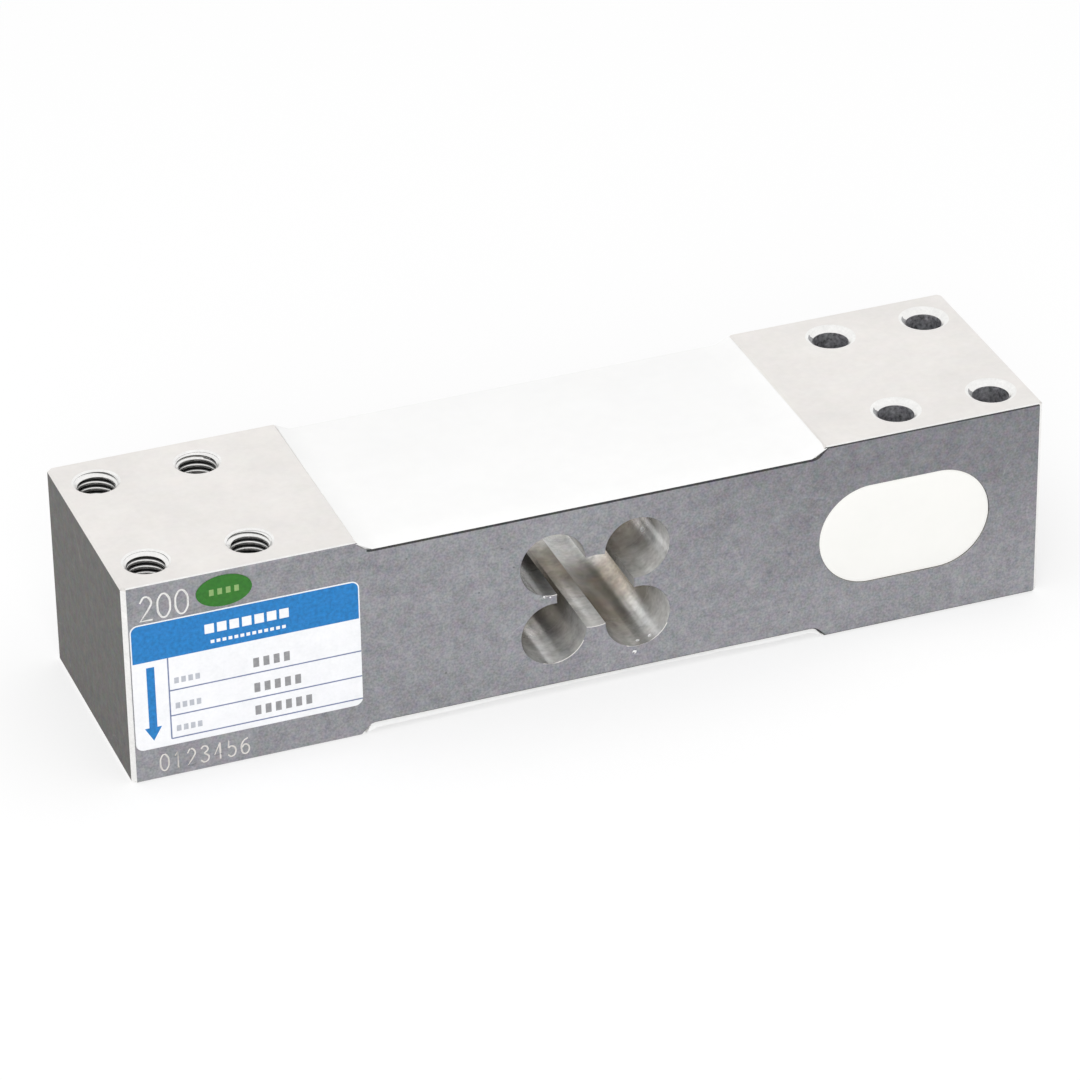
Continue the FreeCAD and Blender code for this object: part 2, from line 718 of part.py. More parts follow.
def make_board():
    """The junction board, standing in the pocket parallel to the labelled face."""
    extent = ("sizes.board_length", "sizes.board_thick", "sizes.board_height")
    board = keep(plate("board", POCKET_X, BOARD_FACE, MID_HEIGHT, *extent), "junction_board")
    square = ("sizes.wire_pad", "sizes.foil_thick", "sizes.wire_pad")
    pads = []
    for step in range(3):
        away = f"(sizes.wire_pad_first + {step} * sizes.wire_pad_step) / {PASSAGE_LENGTH}"
        x = f"{POCKET_START} - {away} * {PASSAGE_RUN}"
        for side in ("+", "-"):
            z = f"{MID_HEIGHT} {side} {away} * {PASSAGE_DROP}"
            name = f"wire_pad_{len(pads) + 1}"
            pads.append(plate(name, x, BOARD_PAD_FACE, z, *square))
    cable_x = f"{POCKET_X} + sizes.board_length / 2 - sizes.cable_pad_inset"
    for index in range(4):
        z = f"{MID_HEIGHT} + {index - 1.5} * sizes.cable_pad_pitch"
        pads.append(plate(f"cable_pad_{index + 1}", cable_x, BOARD_PAD_FACE, z, *square))
    chips = []
    chip = ("sizes.chip_width", "sizes.chip_height", "sizes.chip_length")
    for index, name in enumerate(("span_resistor", "zero_resistor", "temperature_resistor")):
        x = f"{POCKET_X} + {index - 0.5} * sizes.chip_pitch"
        front = f"{BOARD_FACE} - sizes.chip_height"
        chips.append(keep(plate(f"chip_{index + 1}", x, front, MID_HEIGHT, *chip), name))
    return [board, keep(group_of("board_coppers", pads), "board_pads")] + chips


def make_board_joints(wires):
    face = worked(BOARD_PAD_FACE)
    balls = []
    for step in range(3):
        x, rise = board_place(step)
        for side in (1, -1):
            place = Vector(x, face, worked(MID_HEIGHT) + side * rise)
            balls.append(half_ball(f"board_solder_{len(balls) + 1}", place, True))
    solid = group_of("board_solder", balls)
    return keep(cut_out("board_joints", solid, wires), "board_solder_joints")


def make_potting(hollows):
    """Cream silicone cast in the pocket around the board, open where the cable would enter."""
    body = doc.addObject("PartDesign::Body", "potting_body")
    face = f"{HALF_WIDTH} - sizes.potting_setback"
    outline = sketch_on(body, "XZ_Plane", "potting_outline", face)
    draw_slot(outline, POCKET_REACH, POCKET_X, MID_HEIGHT, POCKET_RADIUS)
    fill = pad(body, outline, "potting_fill", "sizes.pocket_depth - sizes.potting_setback")
    fill.Reversed = True
    socket = doc.addObject("Part::Cylinder", "cable_socket")
    socket.Placement = Placement(Vector(), Rotation(Vector(0, 1, 0), 90))
    bind(
        socket,
        Radius="sizes.outlet_radius + sizes.socket_clearance",
        Height="sizes.socket_depth + sizes.pocket_margin",
        Placement__Base__x=f"{POCKET_FINISH} + {POCKET_RADIUS} - sizes.socket_depth",
        Placement__Base__z=MID_HEIGHT,
    )
    return keep(cut_out("potting", body, hollows + [socket]), "junction_potting")


# ---------------------------------------------------------------- stickers

LABEL_TOP = "(sizes.block_height - sizes.label_drop)"


def make_type_label():
    """A rounded sticker on the labelled face at the load end."""
    body = doc.addObject("PartDesign::Body", "type_label_body")
    sketch = sketch_on(body, "XZ_Plane", "label_outline", HALF_WIDTH)
    left = f"sizes.label_inset - {HALF_LENGTH}"
    right = f"{left} + sizes.label_length"
    low = f"{LABEL_TOP} - sizes.label_height"
    high = LABEL_TOP
    draw_outline(sketch, [(left, low), (right, low), (right, high), (left, high)])
    pad(body, sketch, "label_sheet", "sizes.sticker_thick")
    dress(
        body, "PartDesign::Fillet", "label_corners", "Radius", "sizes.label_corner",
        lambda edge: near(edge.BoundBox.XLength + edge.BoundBox.ZLength, 0),
    )
    return keep(body, "type_label")


def make_oval_sticker():
    outline = doc.addObject("Part::Ellipse", "oval_outline")
    outline.Placement = Placement(Vector(), Rotation(Vector(1, 0, 0), 90))
    bind(
        outline,
        MajorRadius="sizes.oval_length / 2",
        MinorRadius="sizes.oval_height / 2",
        Placement__Base__x=f"sizes.oval_inset - {HALF_LENGTH}",
        Placement__Base__y=f"-({HALF_WIDTH})",
        Placement__Base__z=f"{LABEL_TOP} + sizes.oval_gap + sizes.oval_height / 2",
    )
    sticker = doc.addObject("Part::Extrusion", "oval_sheet")
    sticker.Base = outline
    sticker.DirMode = "Custom"
    sticker.Dir = Vector(0, -1, 0)
    sticker.Solid = True
    sticker.setExpression("LengthFwd", "sizes.sticker_thick")
    return keep(sticker, "oval_sticker")


# ---------------------------------------------------------------- put together and write

block = make_spring_element()
gauges = make_gauges()
terminals = make_terminals()
jumpers = make_jumpers()
top_wires = make_bridge_wires()
top_joints = make_gauge_joints(jumpers, top_wires)
under_silicone = gauges + terminals + [jumpers, top_wires, top_joints]
top_seal = make_gauge_seal(block, under_silicone)
twins = {}
for piece in under_silicone + [top_seal]:
    twins[piece] = mirrored(piece, piece.Label.replace("top_", "bottom_", 1))
board_pieces = make_board()
both_wires = [top_wires, twins[top_wires]]
board_joints = make_board_joints(both_wires)
make_potting(board_pieces + both_wires + [board_joints])
make_type_label()
make_oval_sticker()
doc.recompute()

for thing in doc.Objects:
    if "Invalid" in thing.State or "Error" in thing.State:
        raise RuntimeError(f"{thing.Label} failed: {thing.State}")
for piece in PARTS:
    if piece.Shape.isNull() or not piece.Shape.isValid() or not piece.Shape.Solids:
        raise RuntimeError(f"{piece.Label} has no valid solid")

os.makedirs("parts", exist_ok=True)
for piece in PARTS:
    piece.Shape.exportStep(f"parts/{piece.Label}.step")
    print(f"{piece.Label}: {len(piece.Shape.Solids)} solids, {piece.Shape.Volume:.3f} mm3")
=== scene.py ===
import math

import bpy
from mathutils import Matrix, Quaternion, Vector


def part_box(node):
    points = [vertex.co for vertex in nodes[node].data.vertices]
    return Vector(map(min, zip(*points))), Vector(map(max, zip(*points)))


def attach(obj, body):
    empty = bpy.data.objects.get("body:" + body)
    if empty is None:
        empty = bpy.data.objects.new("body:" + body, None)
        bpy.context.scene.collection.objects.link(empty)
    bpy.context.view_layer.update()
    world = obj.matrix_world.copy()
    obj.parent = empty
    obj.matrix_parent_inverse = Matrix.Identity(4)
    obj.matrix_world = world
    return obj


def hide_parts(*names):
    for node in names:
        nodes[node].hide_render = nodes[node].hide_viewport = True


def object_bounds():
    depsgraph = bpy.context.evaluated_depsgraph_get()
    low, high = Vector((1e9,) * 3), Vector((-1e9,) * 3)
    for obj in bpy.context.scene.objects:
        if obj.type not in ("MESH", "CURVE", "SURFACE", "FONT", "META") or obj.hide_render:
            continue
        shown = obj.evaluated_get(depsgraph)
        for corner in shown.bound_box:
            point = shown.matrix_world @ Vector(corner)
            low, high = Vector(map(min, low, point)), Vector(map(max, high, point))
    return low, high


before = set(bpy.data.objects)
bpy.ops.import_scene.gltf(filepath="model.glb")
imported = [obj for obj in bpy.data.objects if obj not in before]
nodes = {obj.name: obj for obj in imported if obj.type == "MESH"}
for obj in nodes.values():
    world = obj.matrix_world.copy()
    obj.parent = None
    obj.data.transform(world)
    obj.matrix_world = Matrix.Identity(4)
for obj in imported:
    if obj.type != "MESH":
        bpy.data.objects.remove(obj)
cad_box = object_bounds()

mm = 0.001


# ---------------------------------------------------------------- camera
# A long lens, in front of the labelled face, a little past its left end and looking down on the
# mounting pads.

camera_place = Vector((-0.3072, -0.8246, 0.5398))
camera_aim = Vector((-0.0109, -0.0240, 0.0336))
camera_roll = math.radians(-0.93)

bpy.ops.object.camera_add(location=camera_place)
camera = bpy.context.object
camera.name = "camera"
camera.data.lens = 186.2
camera.data.sensor_width = 36.0
camera.data.clip_start = 0.05
camera.data.clip_end = 20.0
camera.rotation_mode = "QUATERNION"
looking = (camera_aim - camera_place).to_track_quat("-Z", "Y")
camera.rotation_quaternion = looking @ Quaternion((0, 0, 1), camera_roll)
bpy.context.scene.camera = camera
bpy.context.scene.view_settings.view_transform = "Standard"


# ---------------------------------------------------------------- studio
# A plain white floor under an even white room, one large soft lamp overhead and a smaller one in
# front. Only a soft shadow on the floor tells where the part stands.


def put(tree, kind, **settings):
    """Adds a node to a tree. A setting that names an input sets its value, any other a property."""
    node = tree.nodes.new(kind)
    for name, value in settings.items():
        label = name.replace("_", " ")
        if label in node.inputs:
            node.inputs[label].default_value = value
        else:
            setattr(node, name, value)
    return node


def feed(tree, socket, value):
    """Gives an input its value, which is another socket, a number or a triple."""
    if isinstance(value, bpy.types.NodeSocket):
        tree.links.new(value, socket)
    else:
        socket.default_value = value


def maths(tree, operation, first, second):
    """A maths node on two values, each a socket or a number."""
    node = put(tree, "ShaderNodeMath", operation=operation)
    feed(tree, node.inputs[0], first)
    feed(tree, node.inputs[1], second)
    return node.outputs[0]


def seen_directly(tree):
    """1 for a ray from the camera, a reflection or through glass, and 0 for plain lighting."""
    path = put(tree, "ShaderNodeLightPath").outputs
    seen = maths(tree, "MAXIMUM", path["Is Camera Ray"], path["Is Glossy Ray"])
    return maths(tree, "MAXIMUM", seen, path["Is Transmission Ray"])


room_light = 0.62
world = bpy.data.worlds.new("room")
world.use_nodes = True
bpy.context.scene.world = world
tree = world.node_tree
background = tree.nodes["Background"]
background.inputs["Color"].default_value = (1.0, 1.0, 1.0, 1.0)
brightness = put(tree, "ShaderNodeMapRange", To_Min=room_light, To_Max=1.0)
tree.links.new(seen_directly(tree), brightness.inputs["Value"])
tree.links.new(brightness.outputs["Result"], background.inputs["Strength"])

floor_glow = 0.62
floor_width = 8.0
floor_drop = 0.05 * mm
bpy.ops.mesh.primitive_plane_add(size=floor_width, location=(0, 0, -floor_drop))
floor = bpy.context.object
floor.name = "floor"
paper = bpy.data.materials.new("floor_paper")
paper.use_nodes = True
tree = paper.node_tree
tree.nodes.remove(tree.nodes["Principled BSDF"])
matt = put(tree, "ShaderNodeBsdfDiffuse", Color=(0.80, 0.80, 0.80, 1.0))
pale = put(tree, "ShaderNodeBsdfDiffuse", Color=(0.39, 0.39, 0.39, 1.0))
glow = put(tree, "ShaderNodeEmission", Strength=floor_glow)
shown = put(tree, "ShaderNodeAddShader")
either = put(tree, "ShaderNodeMixShader")
tree.links.new(pale.outputs[0], shown.inputs[0])
tree.links.new(glow.outputs[0], shown.inputs[1])
tree.links.new(seen_directly(tree), either.inputs["Fac"])
tree.links.new(matt.outputs[0], either.inputs[1])
tree.links.new(shown.outputs[0], either.inputs[2])
tree.links.new(either.outputs[0], tree.nodes["Material Output"].inputs["Surface"])
floor.data.materials.append(paper)


def soft_lamp(name, place, size, watts):
    """A square soft lamp that points at the middle of the part. It lights the part, but metal never
    mirrors it: a flat pad would show it as one white patch."""
    bpy.ops.object.light_add(type="AREA", location=place)
    lamp = bpy.context.object
    lamp.name = name
    lamp.data.shape = "SQUARE"
    lamp.data.size = size
    lamp.data.energy = watts
    lamp.rotation_mode = "QUATERNION"
    aim = Vector((0, 0, 20 * mm)) - Vector(place)
    lamp.rotation_quaternion = aim.to_track_quat("-Z", "Y")
    lamp.visible_glossy = False


soft_lamp("overhead_lamp", (0.0, -0.05, 1.1), 1.5, 5.2)
soft_lamp("front_lamp", (-0.40, -1.05, 0.55), 0.7, 5.2)


# ---------------------------------------------------------------- block
# The spring element: one piece of bar aluminium. Its pads and recesses are milled bright, its long
# sides keep a fine matt grey skin, its ends are darker from the saw, and its bores are drilled.

half_length = cad_box[1].x
half_width = cad_box[1].y
height = cad_box[1].z


def group_of_nodes(name, inputs, outputs):
    """A new shader node group with these sockets, its input node and its output node."""
    group = bpy.data.node_groups.new(name, "ShaderNodeTree")
    kinds = {float: "NodeSocketFloat", tuple: "NodeSocketColor", Vector: "NodeSocketVector"}
    for label, value in inputs:
        socket = group.interface.new_socket(name=label, in_out="INPUT", socket_type=kinds[type(value)])
        socket.default_value = value
    for label, kind in outputs:
        group.interface.new_socket(name=label, in_out="OUTPUT", socket_type=kinds[kind])
    return group, put(group, "NodeGroupInput"), put(group, "NodeGroupOutput")


def vector_maths(tree, operation, first, second=(0, 0, 0)):
    """A vector maths node on two sockets or triples. For a scale, the second is a single value."""
    node = put(tree, "ShaderNodeVectorMath", operation=operation)
    feed(tree, node.inputs[0], first)
    feed(tree, node.inputs["Scale" if operation == "SCALE" else 1], second)
    return node.outputs["Value" if operation == "LENGTH" else "Vector"]


def red_of(tree, colour):
    """The red share of a colour."""
    parts = put(tree, "ShaderNodeSeparateColor")
    tree.links.new(colour, parts.inputs[0])
    return parts.outputs[0]


def noise(tree, vector, scale, detail):
    """A noise texture, read at this scale."""
    node = put(tree, "ShaderNodeTexNoise", Detail=detail)
    tree.links.new(vector, node.inputs["Vector"])
    tree.links.new(scale, node.inputs["Scale"])
    return node


grain, given, result = group_of_nodes(
    "grain",
    [("Colour", (0.5, 0.5, 0.5, 1.0)), ("Stretch", Vector((1, 1, 1))), ("Grain Size", 0.4),
     ("Grain", 0.2), ("Mottle Size", 3.0), ("Mottle", 0.0), ("Cloud Size", 8.0), ("Cloud", 0.1),
     ("Tint", 0.05)],
    [("Colour", tuple), ("Height", float), ("Cloud", float)],
)
whole_piece = put(grain, "ShaderNodeTexCoord").outputs["Object"]
stretched = vector_maths(grain, "MULTIPLY", whole_piece, given.outputs["Stretch"])
per_metre = 1 / mm


def layer(vector, size, share, detail):
    """One noise, so many millimetres from patch to patch, and how far it swings the tone."""
    texture = noise(grain, vector, maths(grain, "DIVIDE", per_metre, given.outputs[size]), detail)
    swing = maths(grain, "MULTIPLY", given.outputs[share], 4.0)
    return texture, maths(grain, "MULTIPLY", maths(grain, "SUBTRACT", texture.outputs["Fac"], 0.5), swing)


fine, fine_swing = layer(stretched, "Grain Size", "Grain", 3.0)
middling_swing = layer(stretched, "Mottle Size", "Mottle", 6.0)[1]
wide, wide_swing = layer(whole_piece, "Cloud Size", "Cloud", 4.0)
swings = maths(grain, "ADD", fine_swing, maths(grain, "ADD", middling_swing, wide_swing))
toned = vector_maths(grain, "SCALE", given.outputs["Colour"], maths(grain, "ADD", 1.0, swings))
hue_scale = maths(grain, "DIVIDE", 0.35 * per_metre, given.outputs["Grain Size"])
hue = noise(grain, whole_piece, hue_scale, 2.0)
centred = vector_maths(grain, "SUBTRACT", hue.outputs["Color"], (0.5, 0.5, 0.5))
tinted = vector_maths(grain, "SCALE", centred, given.outputs["Tint"])
grain.links.new(vector_maths(grain, "ADD", toned, tinted), result.inputs["Colour"])
grain.links.new(fine.outputs["Fac"], result.inputs["Height"])
grain.links.new(wide.outputs["Fac"], result.inputs["Cloud"])


# Scratches are thin lines where a wide noise crosses its middle value, broken up by a finer one.
# Pits are the odd spot of a cell pattern.
scratches, given, result = group_of_nodes(
    "scratches", [("Spacing", 14.0)], [("Mask", float), ("Pits", float)]
)
whole_piece = put(scratches, "ShaderNodeTexCoord").outputs["Object"]
spacing = given.outputs["Spacing"]
winding = noise(scratches, whole_piece, maths(scratches, "DIVIDE", per_metre, spacing), 1.0)
winding.inputs["Distortion"].default_value = 0.6
aside = maths(scratches, "ABSOLUTE", maths(scratches, "SUBTRACT", winding.outputs["Fac"], 0.5), 0.0)
thin = put(scratches, "ShaderNodeMapRange", From_Min=0.0, From_Max=0.009, To_Min=1.0, To_Max=0.0)
scratches.links.new(aside, thin.inputs["Value"])
patches = noise(scratches, whole_piece, maths(scratches, "DIVIDE", 2.2 * per_metre, spacing), 2.0)
broken = put(scratches, "ShaderNodeMapRange", From_Min=0.57, From_Max=0.66)
scratches.links.new(patches.outputs["Fac"], broken.inputs["Value"])
lines = maths(scratches, "MULTIPLY", thin.outputs["Result"], broken.outputs["Result"])
scratches.links.new(lines, result.inputs["Mask"])
spots = put(scratches, "ShaderNodeTexVoronoi", Scale=0.45 * per_metre)
scratches.links.new(whole_piece, spots.inputs["Vector"])
near = put(scratches, "ShaderNodeMapRange", From_Min=0.05, From_Max=0.13, To_Min=1.0, To_Max=0.0)
scratches.links.new(spots.outputs["Distance"], near.inputs["Value"])
chosen = maths(scratches, "GREATER_THAN", red_of(scratches, spots.outputs["Color"]), 0.93)
scratches.links.new(maths(scratches, "MULTIPLY", near.outputs["Result"], chosen), result.inputs["Pits"])


def finish_of(name, colour, metallic, roughness, bump, uneven, **looks):
    """A material whose colour, roughness and relief come from the grain group, whose inputs the looks
    set. Its relief is bump millimetres deep, and its roughness swings by uneven either way."""
    material = bpy.data.materials.new(name)
    material.use_nodes = True
    tree = material.node_tree
    shader = tree.nodes["Principled BSDF"]
    shader.inputs["Metallic"].default_value = metallic
    texture = put(tree, "ShaderNodeGroup", node_tree=grain)
    texture.inputs["Colour"].default_value = (*colour, 1.0)
    for label, value in looks.items():
        texture.inputs[label.replace("_", " ")].default_value = value
    tree.links.new(texture.outputs["Colour"], shader.inputs["Base Color"])
    rough = put(tree, "ShaderNodeMapRange", To_Min=roughness - uneven, To_Max=roughness + uneven)
    tree.links.new(texture.outputs["Cloud"], rough.inputs["Value"])
    tree.links.new(rough.outputs["Result"], shader.inputs["Roughness"])
    relief = put(tree, "ShaderNodeBump", Distance=bump * mm)
    tree.links.new(texture.outputs["Height"], relief.inputs["Height"])
    tree.links.new(relief.outputs["Normal"], shader.inputs["Normal"])
    return material


def scratch(material, light, dark):
    """Draws scratches a little lighter than the surface, by a share, and a few darker pits."""
    tree = material.node_tree
    shader = tree.nodes["Principled BSDF"]
    under = shader.inputs["Base Color"].links[0].from_socket
    marks = put(tree, "ShaderNodeGroup", node_tree=scratches)
    lighter = maths(tree, "MULTIPLY", marks.outputs["Mask"], light)
    darker = maths(tree, "MULTIPLY", marks.outputs["Pits"], dark)
    change = maths(tree, "ADD", 1.0, maths(tree, "SUBTRACT", lighter, darker))
    tree.links.new(vector_maths(tree, "SCALE", under, change), shader.inputs["Base Color"])


def place_of(tree):
    """The X, Y and Z of the point that is shaded."""
    place = put(tree, "ShaderNodeTexCoord")
    parts = put(tree, "ShaderNodeSeparateXYZ")
    tree.links.new(place.outputs["Object"], parts.inputs[0])
    return parts.outputs


def ramp(tree, place, start, end, low, high):
    """A value that runs smoothly from low to high between two places, in millimetres."""
    node = put(tree, "ShaderNodeMapRange", interpolation_type="SMOOTHSTEP", From_Min=start * mm,
               From_Max=end * mm, To_Min=low, To_Max=high)
    tree.links.new(place, node.inputs["Value"])
    return node.outputs["Result"]


def between(tree, share, first, second):
    """A colour that runs from the first to the second with the share. Each is a colour or a socket."""
    mixed = put(tree, "ShaderNodeMix", data_type="RGBA")
    tree.links.new(share, mixed.inputs["Factor"])
    for socket, colour in ((mixed.inputs[6], first), (mixed.inputs[7], second)):
        feed(tree, socket, (*colour, 1.0) if isinstance(colour, tuple) else colour)
    return mixed.outputs[2]


def grain_in(material):
    """The grain group's node in a material."""
    nodes_in = material.node_tree.nodes
    return next(node for node in nodes_in if node.type == "GROUP" and node.node_tree == grain)


milled = finish_of("milled_aluminium", (0.845, 0.82, 0.795), 1.0, 0.42, 0.008, 0.06,
                   Grain_Size=1.2, Grain=0.02, Mottle_Size=5.0, Mottle=0.02, Cloud_Size=16.0, Cloud=0.04,
                   Tint=0.02)
skin_grey = (0.333, 0.333, 0.355)
darker_skin = (0.238, 0.238, 0.257)
side_skin = finish_of("matt_grey_side", skin_grey, 0.85, 0.50, 0.020, 0.06,
                      Grain_Size=0.42, Grain=0.22, Mottle_Size=2.4, Mottle=0.13, Cloud_Size=18.0,
                      Cloud=0.07, Tint=0.08)
scratch(side_skin, 0.25, 0.5)

# The skin is a little darker towards the upper corner of the fixed end.
tree = side_skin.node_tree
at = place_of(tree)
corner = maths(tree, "MULTIPLY", ramp(tree, at["X"], -20.0, 70.0, 0.0, 1.0),
               ramp(tree, at["Z"], 0.0, height / mm, 0.0, 1.0))
skin_tone = between(tree, corner, skin_grey, darker_skin)
tree.links.new(skin_tone, grain_in(side_skin).inputs["Colour"])

sawn_end = finish_of("sawn_end", (0.122, 0.119, 0.112), 0.80, 0.55, 0.025, 0.06,
                     Grain_Size=0.50, Grain=0.20, Mottle_Size=2.2, Mottle=0.20, Cloud_Size=12.0,
                     Cloud=0.10, Tint=0.07)
scratch(sawn_end, 0.35, 0.4)
bored = finish_of("bored_wall", (0.56, 0.53, 0.48), 0.88, 0.20, 0.0015, 0.05,
                  Stretch=Vector((1, 1.2, 1)), Grain_Size=0.8, Grain=0.14, Mottle_Size=2.6, Mottle=0.18,
                  Cloud_Size=7.0, Cloud=0.28, Tint=0.06)

# Painted light and shade: the bores are painted darker in their middle and lighter towards both mouths,
# where more light reaches in. Painted shade darkens the wall of the load end's upper lobe, and the upper
# part and the front of the fixed end's lobes. Those lobes, and less so the load end's half, are painted
# lighter.
deep_shade_grey = (0.217, 0.193, 0.162)
mouth_light_grey = (0.70, 0.70, 0.69)
tree = bored.node_tree
at = place_of(tree)
bare_metal = ramp(tree, at["Y"], -9.0, -19.0, 0.88, 0.45)
tree.links.new(bare_metal, tree.nodes["Principled BSDF"].inputs["Metallic"])
# Painted light: lighter towards the front and back mouths, darker deep in the bore.
front_mouth_light = ramp(tree, at["Y"], -3.5, -19.0, 0.0, 1.0)
back_mouth_light = ramp(tree, at["Y"], 2.0, 14.0, 0.0, 0.75)
bore_light_tone = between(tree, maths(tree, "ADD", front_mouth_light, back_mouth_light), deep_shade_grey, mouth_light_grey)
# Painted shade on the load end's upper lobe, and on the fixed end's upper lobe and towards its front.
upper_left_shade = maths(tree, "MULTIPLY", ramp(tree, at["X"], -3.0, -9.0, 0.0, 0.68),
                  ramp(tree, at["Z"], 15.0, 19.0, 0.0, 1.0))
upper_right_shade = maths(tree, "MULTIPLY", ramp(tree, at["Z"], 15.0, 20.0, 0.0, 0.30),
                    ramp(tree, at["Y"], -22.5, -15.0, 0.2, 1.0))
front_right_shade = ramp(tree, at["Y"], -4.0, -14.0, 0.0, 0.36)
right_lobe_shade = maths(tree, "MULTIPLY", maths(tree, "ADD", upper_right_shade, front_right_shade),
                ramp(tree, at["X"], 9.2, 12.2, 0.0, 1.0))
# The share of the bore's tone that the painted shade leaves.
clean = maths(tree, "SUBTRACT", 1.0, maths(tree, "ADD", upper_left_shade, right_lobe_shade))
# Painted light on the fixed end's lobes, and less on the load end's half.
painted_brightening = maths(tree, "MULTIPLY", ramp(tree, at["X"], 9.2, 12.2, 0.86, 2.4),
              ramp(tree, at["Z"], 7.0, 12.0, 0.90, 1.10))
painted_brightening = maths(tree, "MULTIPLY", painted_brightening, ramp(tree, at["X"], 4.0, 0.0, 1.0, 1.19))
bore_light_and_shade = vector_maths(tree, "SCALE", bore_light_tone, maths(tree, "MULTIPLY", clean, painted_brightening))
tree.links.new(bore_light_and_shade, grain_in(bored).inputs["Colour"])

# A nearly black grey: painted shade for the front bevels.
shaded_bevel = finish_of("shaded_bevel", (0.075, 0.075, 0.077), 0.80, 0.50, 0.010, 0.06,
                       Grain_Size=0.42, Grain=0.20, Mottle_Size=2.4, Mottle=0.15, Cloud_Size=18.0,
                       Cloud=0.07, Tint=0.05)
# Dark mottled grey: the drilled finish, darkened as painted shade inside the fixed end's bores.
drilled_shade = finish_of("drilled_shade_wall", (0.36, 0.36, 0.38), 0.60, 0.50, 0.05, 0.08,
                    Grain_Size=0.6, Grain=0.60, Mottle_Size=1.3, Mottle=0.40, Cloud_Size=3.0, Cloud=0.10,
                    Tint=0.03)
shaded_root = finish_of("shaded_root", (0.20, 0.20, 0.20), 1.0, 0.40, 0.010, 0.06,
                        Grain_Size=0.4, Grain=0.10, Cloud_Size=2.0, Cloud=0.10, Tint=0.0)
bright_cut = finish_of("bright_cut", (0.90, 0.895, 0.88), 1.0, 0.30, 0.006, 0.06,
                       Grain_Size=0.4, Grain=0.06, Cloud_Size=2.0, Cloud=0.06, Tint=0.0)
# A dull grey, for a painted reflection in the fixed end's countersinks.
dark_reflection = finish_of("dark_reflection_cut", (0.36, 0.36, 0.37), 0.8, 0.45, 0.010, 0.06,
                    Grain_Size=0.5, Grain=0.30, Mottle_Size=1.2, Mottle=0.30, Cloud_Size=2.0, Cloud=0.10,
                    Tint=0.02)
# Near white and barely metallic: a painted glint on the chips' cut faces.
glinting_chip = finish_of("glinting_chip_metal", (0.92, 0.92, 0.92), 0.25, 0.45, 0.010, 0.06,
                 Grain_Size=0.3, Grain=0.05, Cloud_Size=2.0, Cloud=0.05, Tint=0.0)


def only(piece):
    """Makes one piece the only one selected."""
    bpy.ops.object.select_all(action="DESELECT")
    piece.hide_set(False)
    piece.select_set(True)
    bpy.context.view_layer.objects.active = piece
    return piece


def copy_of(node, name):
    """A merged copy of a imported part, as clean flat faces instead of loose triangles."""
    only(nodes[node])
    bpy.ops.object.duplicate()
    piece = bpy.context.object
    piece.name = name
    piece.data.name = name
    piece.data.materials.clear()
    bpy.ops.mesh.customdata_custom_splitnormals_clear()
    bpy.ops.object.mode_set(mode="EDIT")
    bpy.ops.mesh.select_all(action="SELECT")
    bpy.ops.mesh.remove_doubles(threshold=0.001 * mm)
    bpy.ops.mesh.dissolve_limited(angle_limit=math.radians(0.4))
    bpy.ops.object.mode_set(mode="OBJECT")
    for key in [key for key in piece.keys() if key.startswith("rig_")]:
        del piece[key]
    piece.parent = None
    return piece


def pick_faces(piece, wanted):
    """Selects in edit mode the faces for which wanted(centre, normal) holds."""
    only(piece)
    bpy.ops.object.mode_set(mode="EDIT")
    bpy.ops.mesh.select_mode(type="FACE")
    bpy.ops.mesh.select_all(action="DESELECT")
    bpy.ops.object.mode_set(mode="OBJECT")
    for face in piece.data.polygons:
        face.select = bool(wanted(face.center, face.normal))
    bpy.ops.object.mode_set(mode="EDIT")


def paint_faces(piece, material, wanted):
    """Gives the faces for which wanted(centre, normal) holds a material of their own."""
    piece.data.materials.append(material)
    pick_faces(piece, wanted)
    piece.active_material_index = len(piece.data.materials) - 1
    bpy.ops.object.material_slot_assign()
    bpy.ops.object.mode_set(mode="OBJECT")


def apply_modifier(piece, name, kind, **settings):
    """Adds a modifier with these settings and applies it."""
    only(piece)
    modifier = piece.modifiers.new(name, kind)
    for label, value in settings.items():
        setattr(modifier, label, value)
    bpy.ops.object.modifier_apply(modifier=name)


def place_in_mesh(piece):
    """Puts a piece's place, turn and size into its mesh, so that its object sits at the origin."""
    only(piece)
    bpy.ops.object.transform_apply(location=True, rotation=True, scale=True)
    return piece


def pick_edges(piece, wanted):
    """Selects in edit mode the sharp edges for which wanted(one end, other end) holds."""
    only(piece)
    bpy.ops.object.mode_set(mode="EDIT")
    bpy.ops.mesh.select_mode(type="EDGE")
    bpy.ops.mesh.select_all(action="DESELECT")
    bpy.ops.mesh.edges_select_sharp(sharpness=math.radians(30))
    bpy.ops.object.mode_set(mode="OBJECT")
    points = piece.data.vertices
    sharp = [edge for edge in piece.data.edges if edge.select]
    for part in (*points, *piece.data.edges, *piece.data.polygons):
        part.select = False
    for edge in sharp:
        first, second = (points[end] for end in edge.vertices)
        if wanted(first.co, second.co):
            edge.select = first.select = second.select = True
    bpy.ops.object.mode_set(mode="EDIT")


def close_slivers(piece, gap):
    """Merges the slivers that cuts leave behind and closes what they leave open."""
    only(piece)
    bpy.ops.object.mode_set(mode="EDIT")
    bpy.ops.mesh.select_all(action="SELECT")
    bpy.ops.mesh.remove_doubles(threshold=gap)
    bpy.ops.mesh.delete_loose()
    bpy.ops.mesh.select_all(action="SELECT")
    bpy.ops.mesh.fill_holes(sides=8)
    bpy.ops.object.mode_set(mode="OBJECT")


block = copy_of("spring_element", "milled_block")
block.data.materials.append(milled)


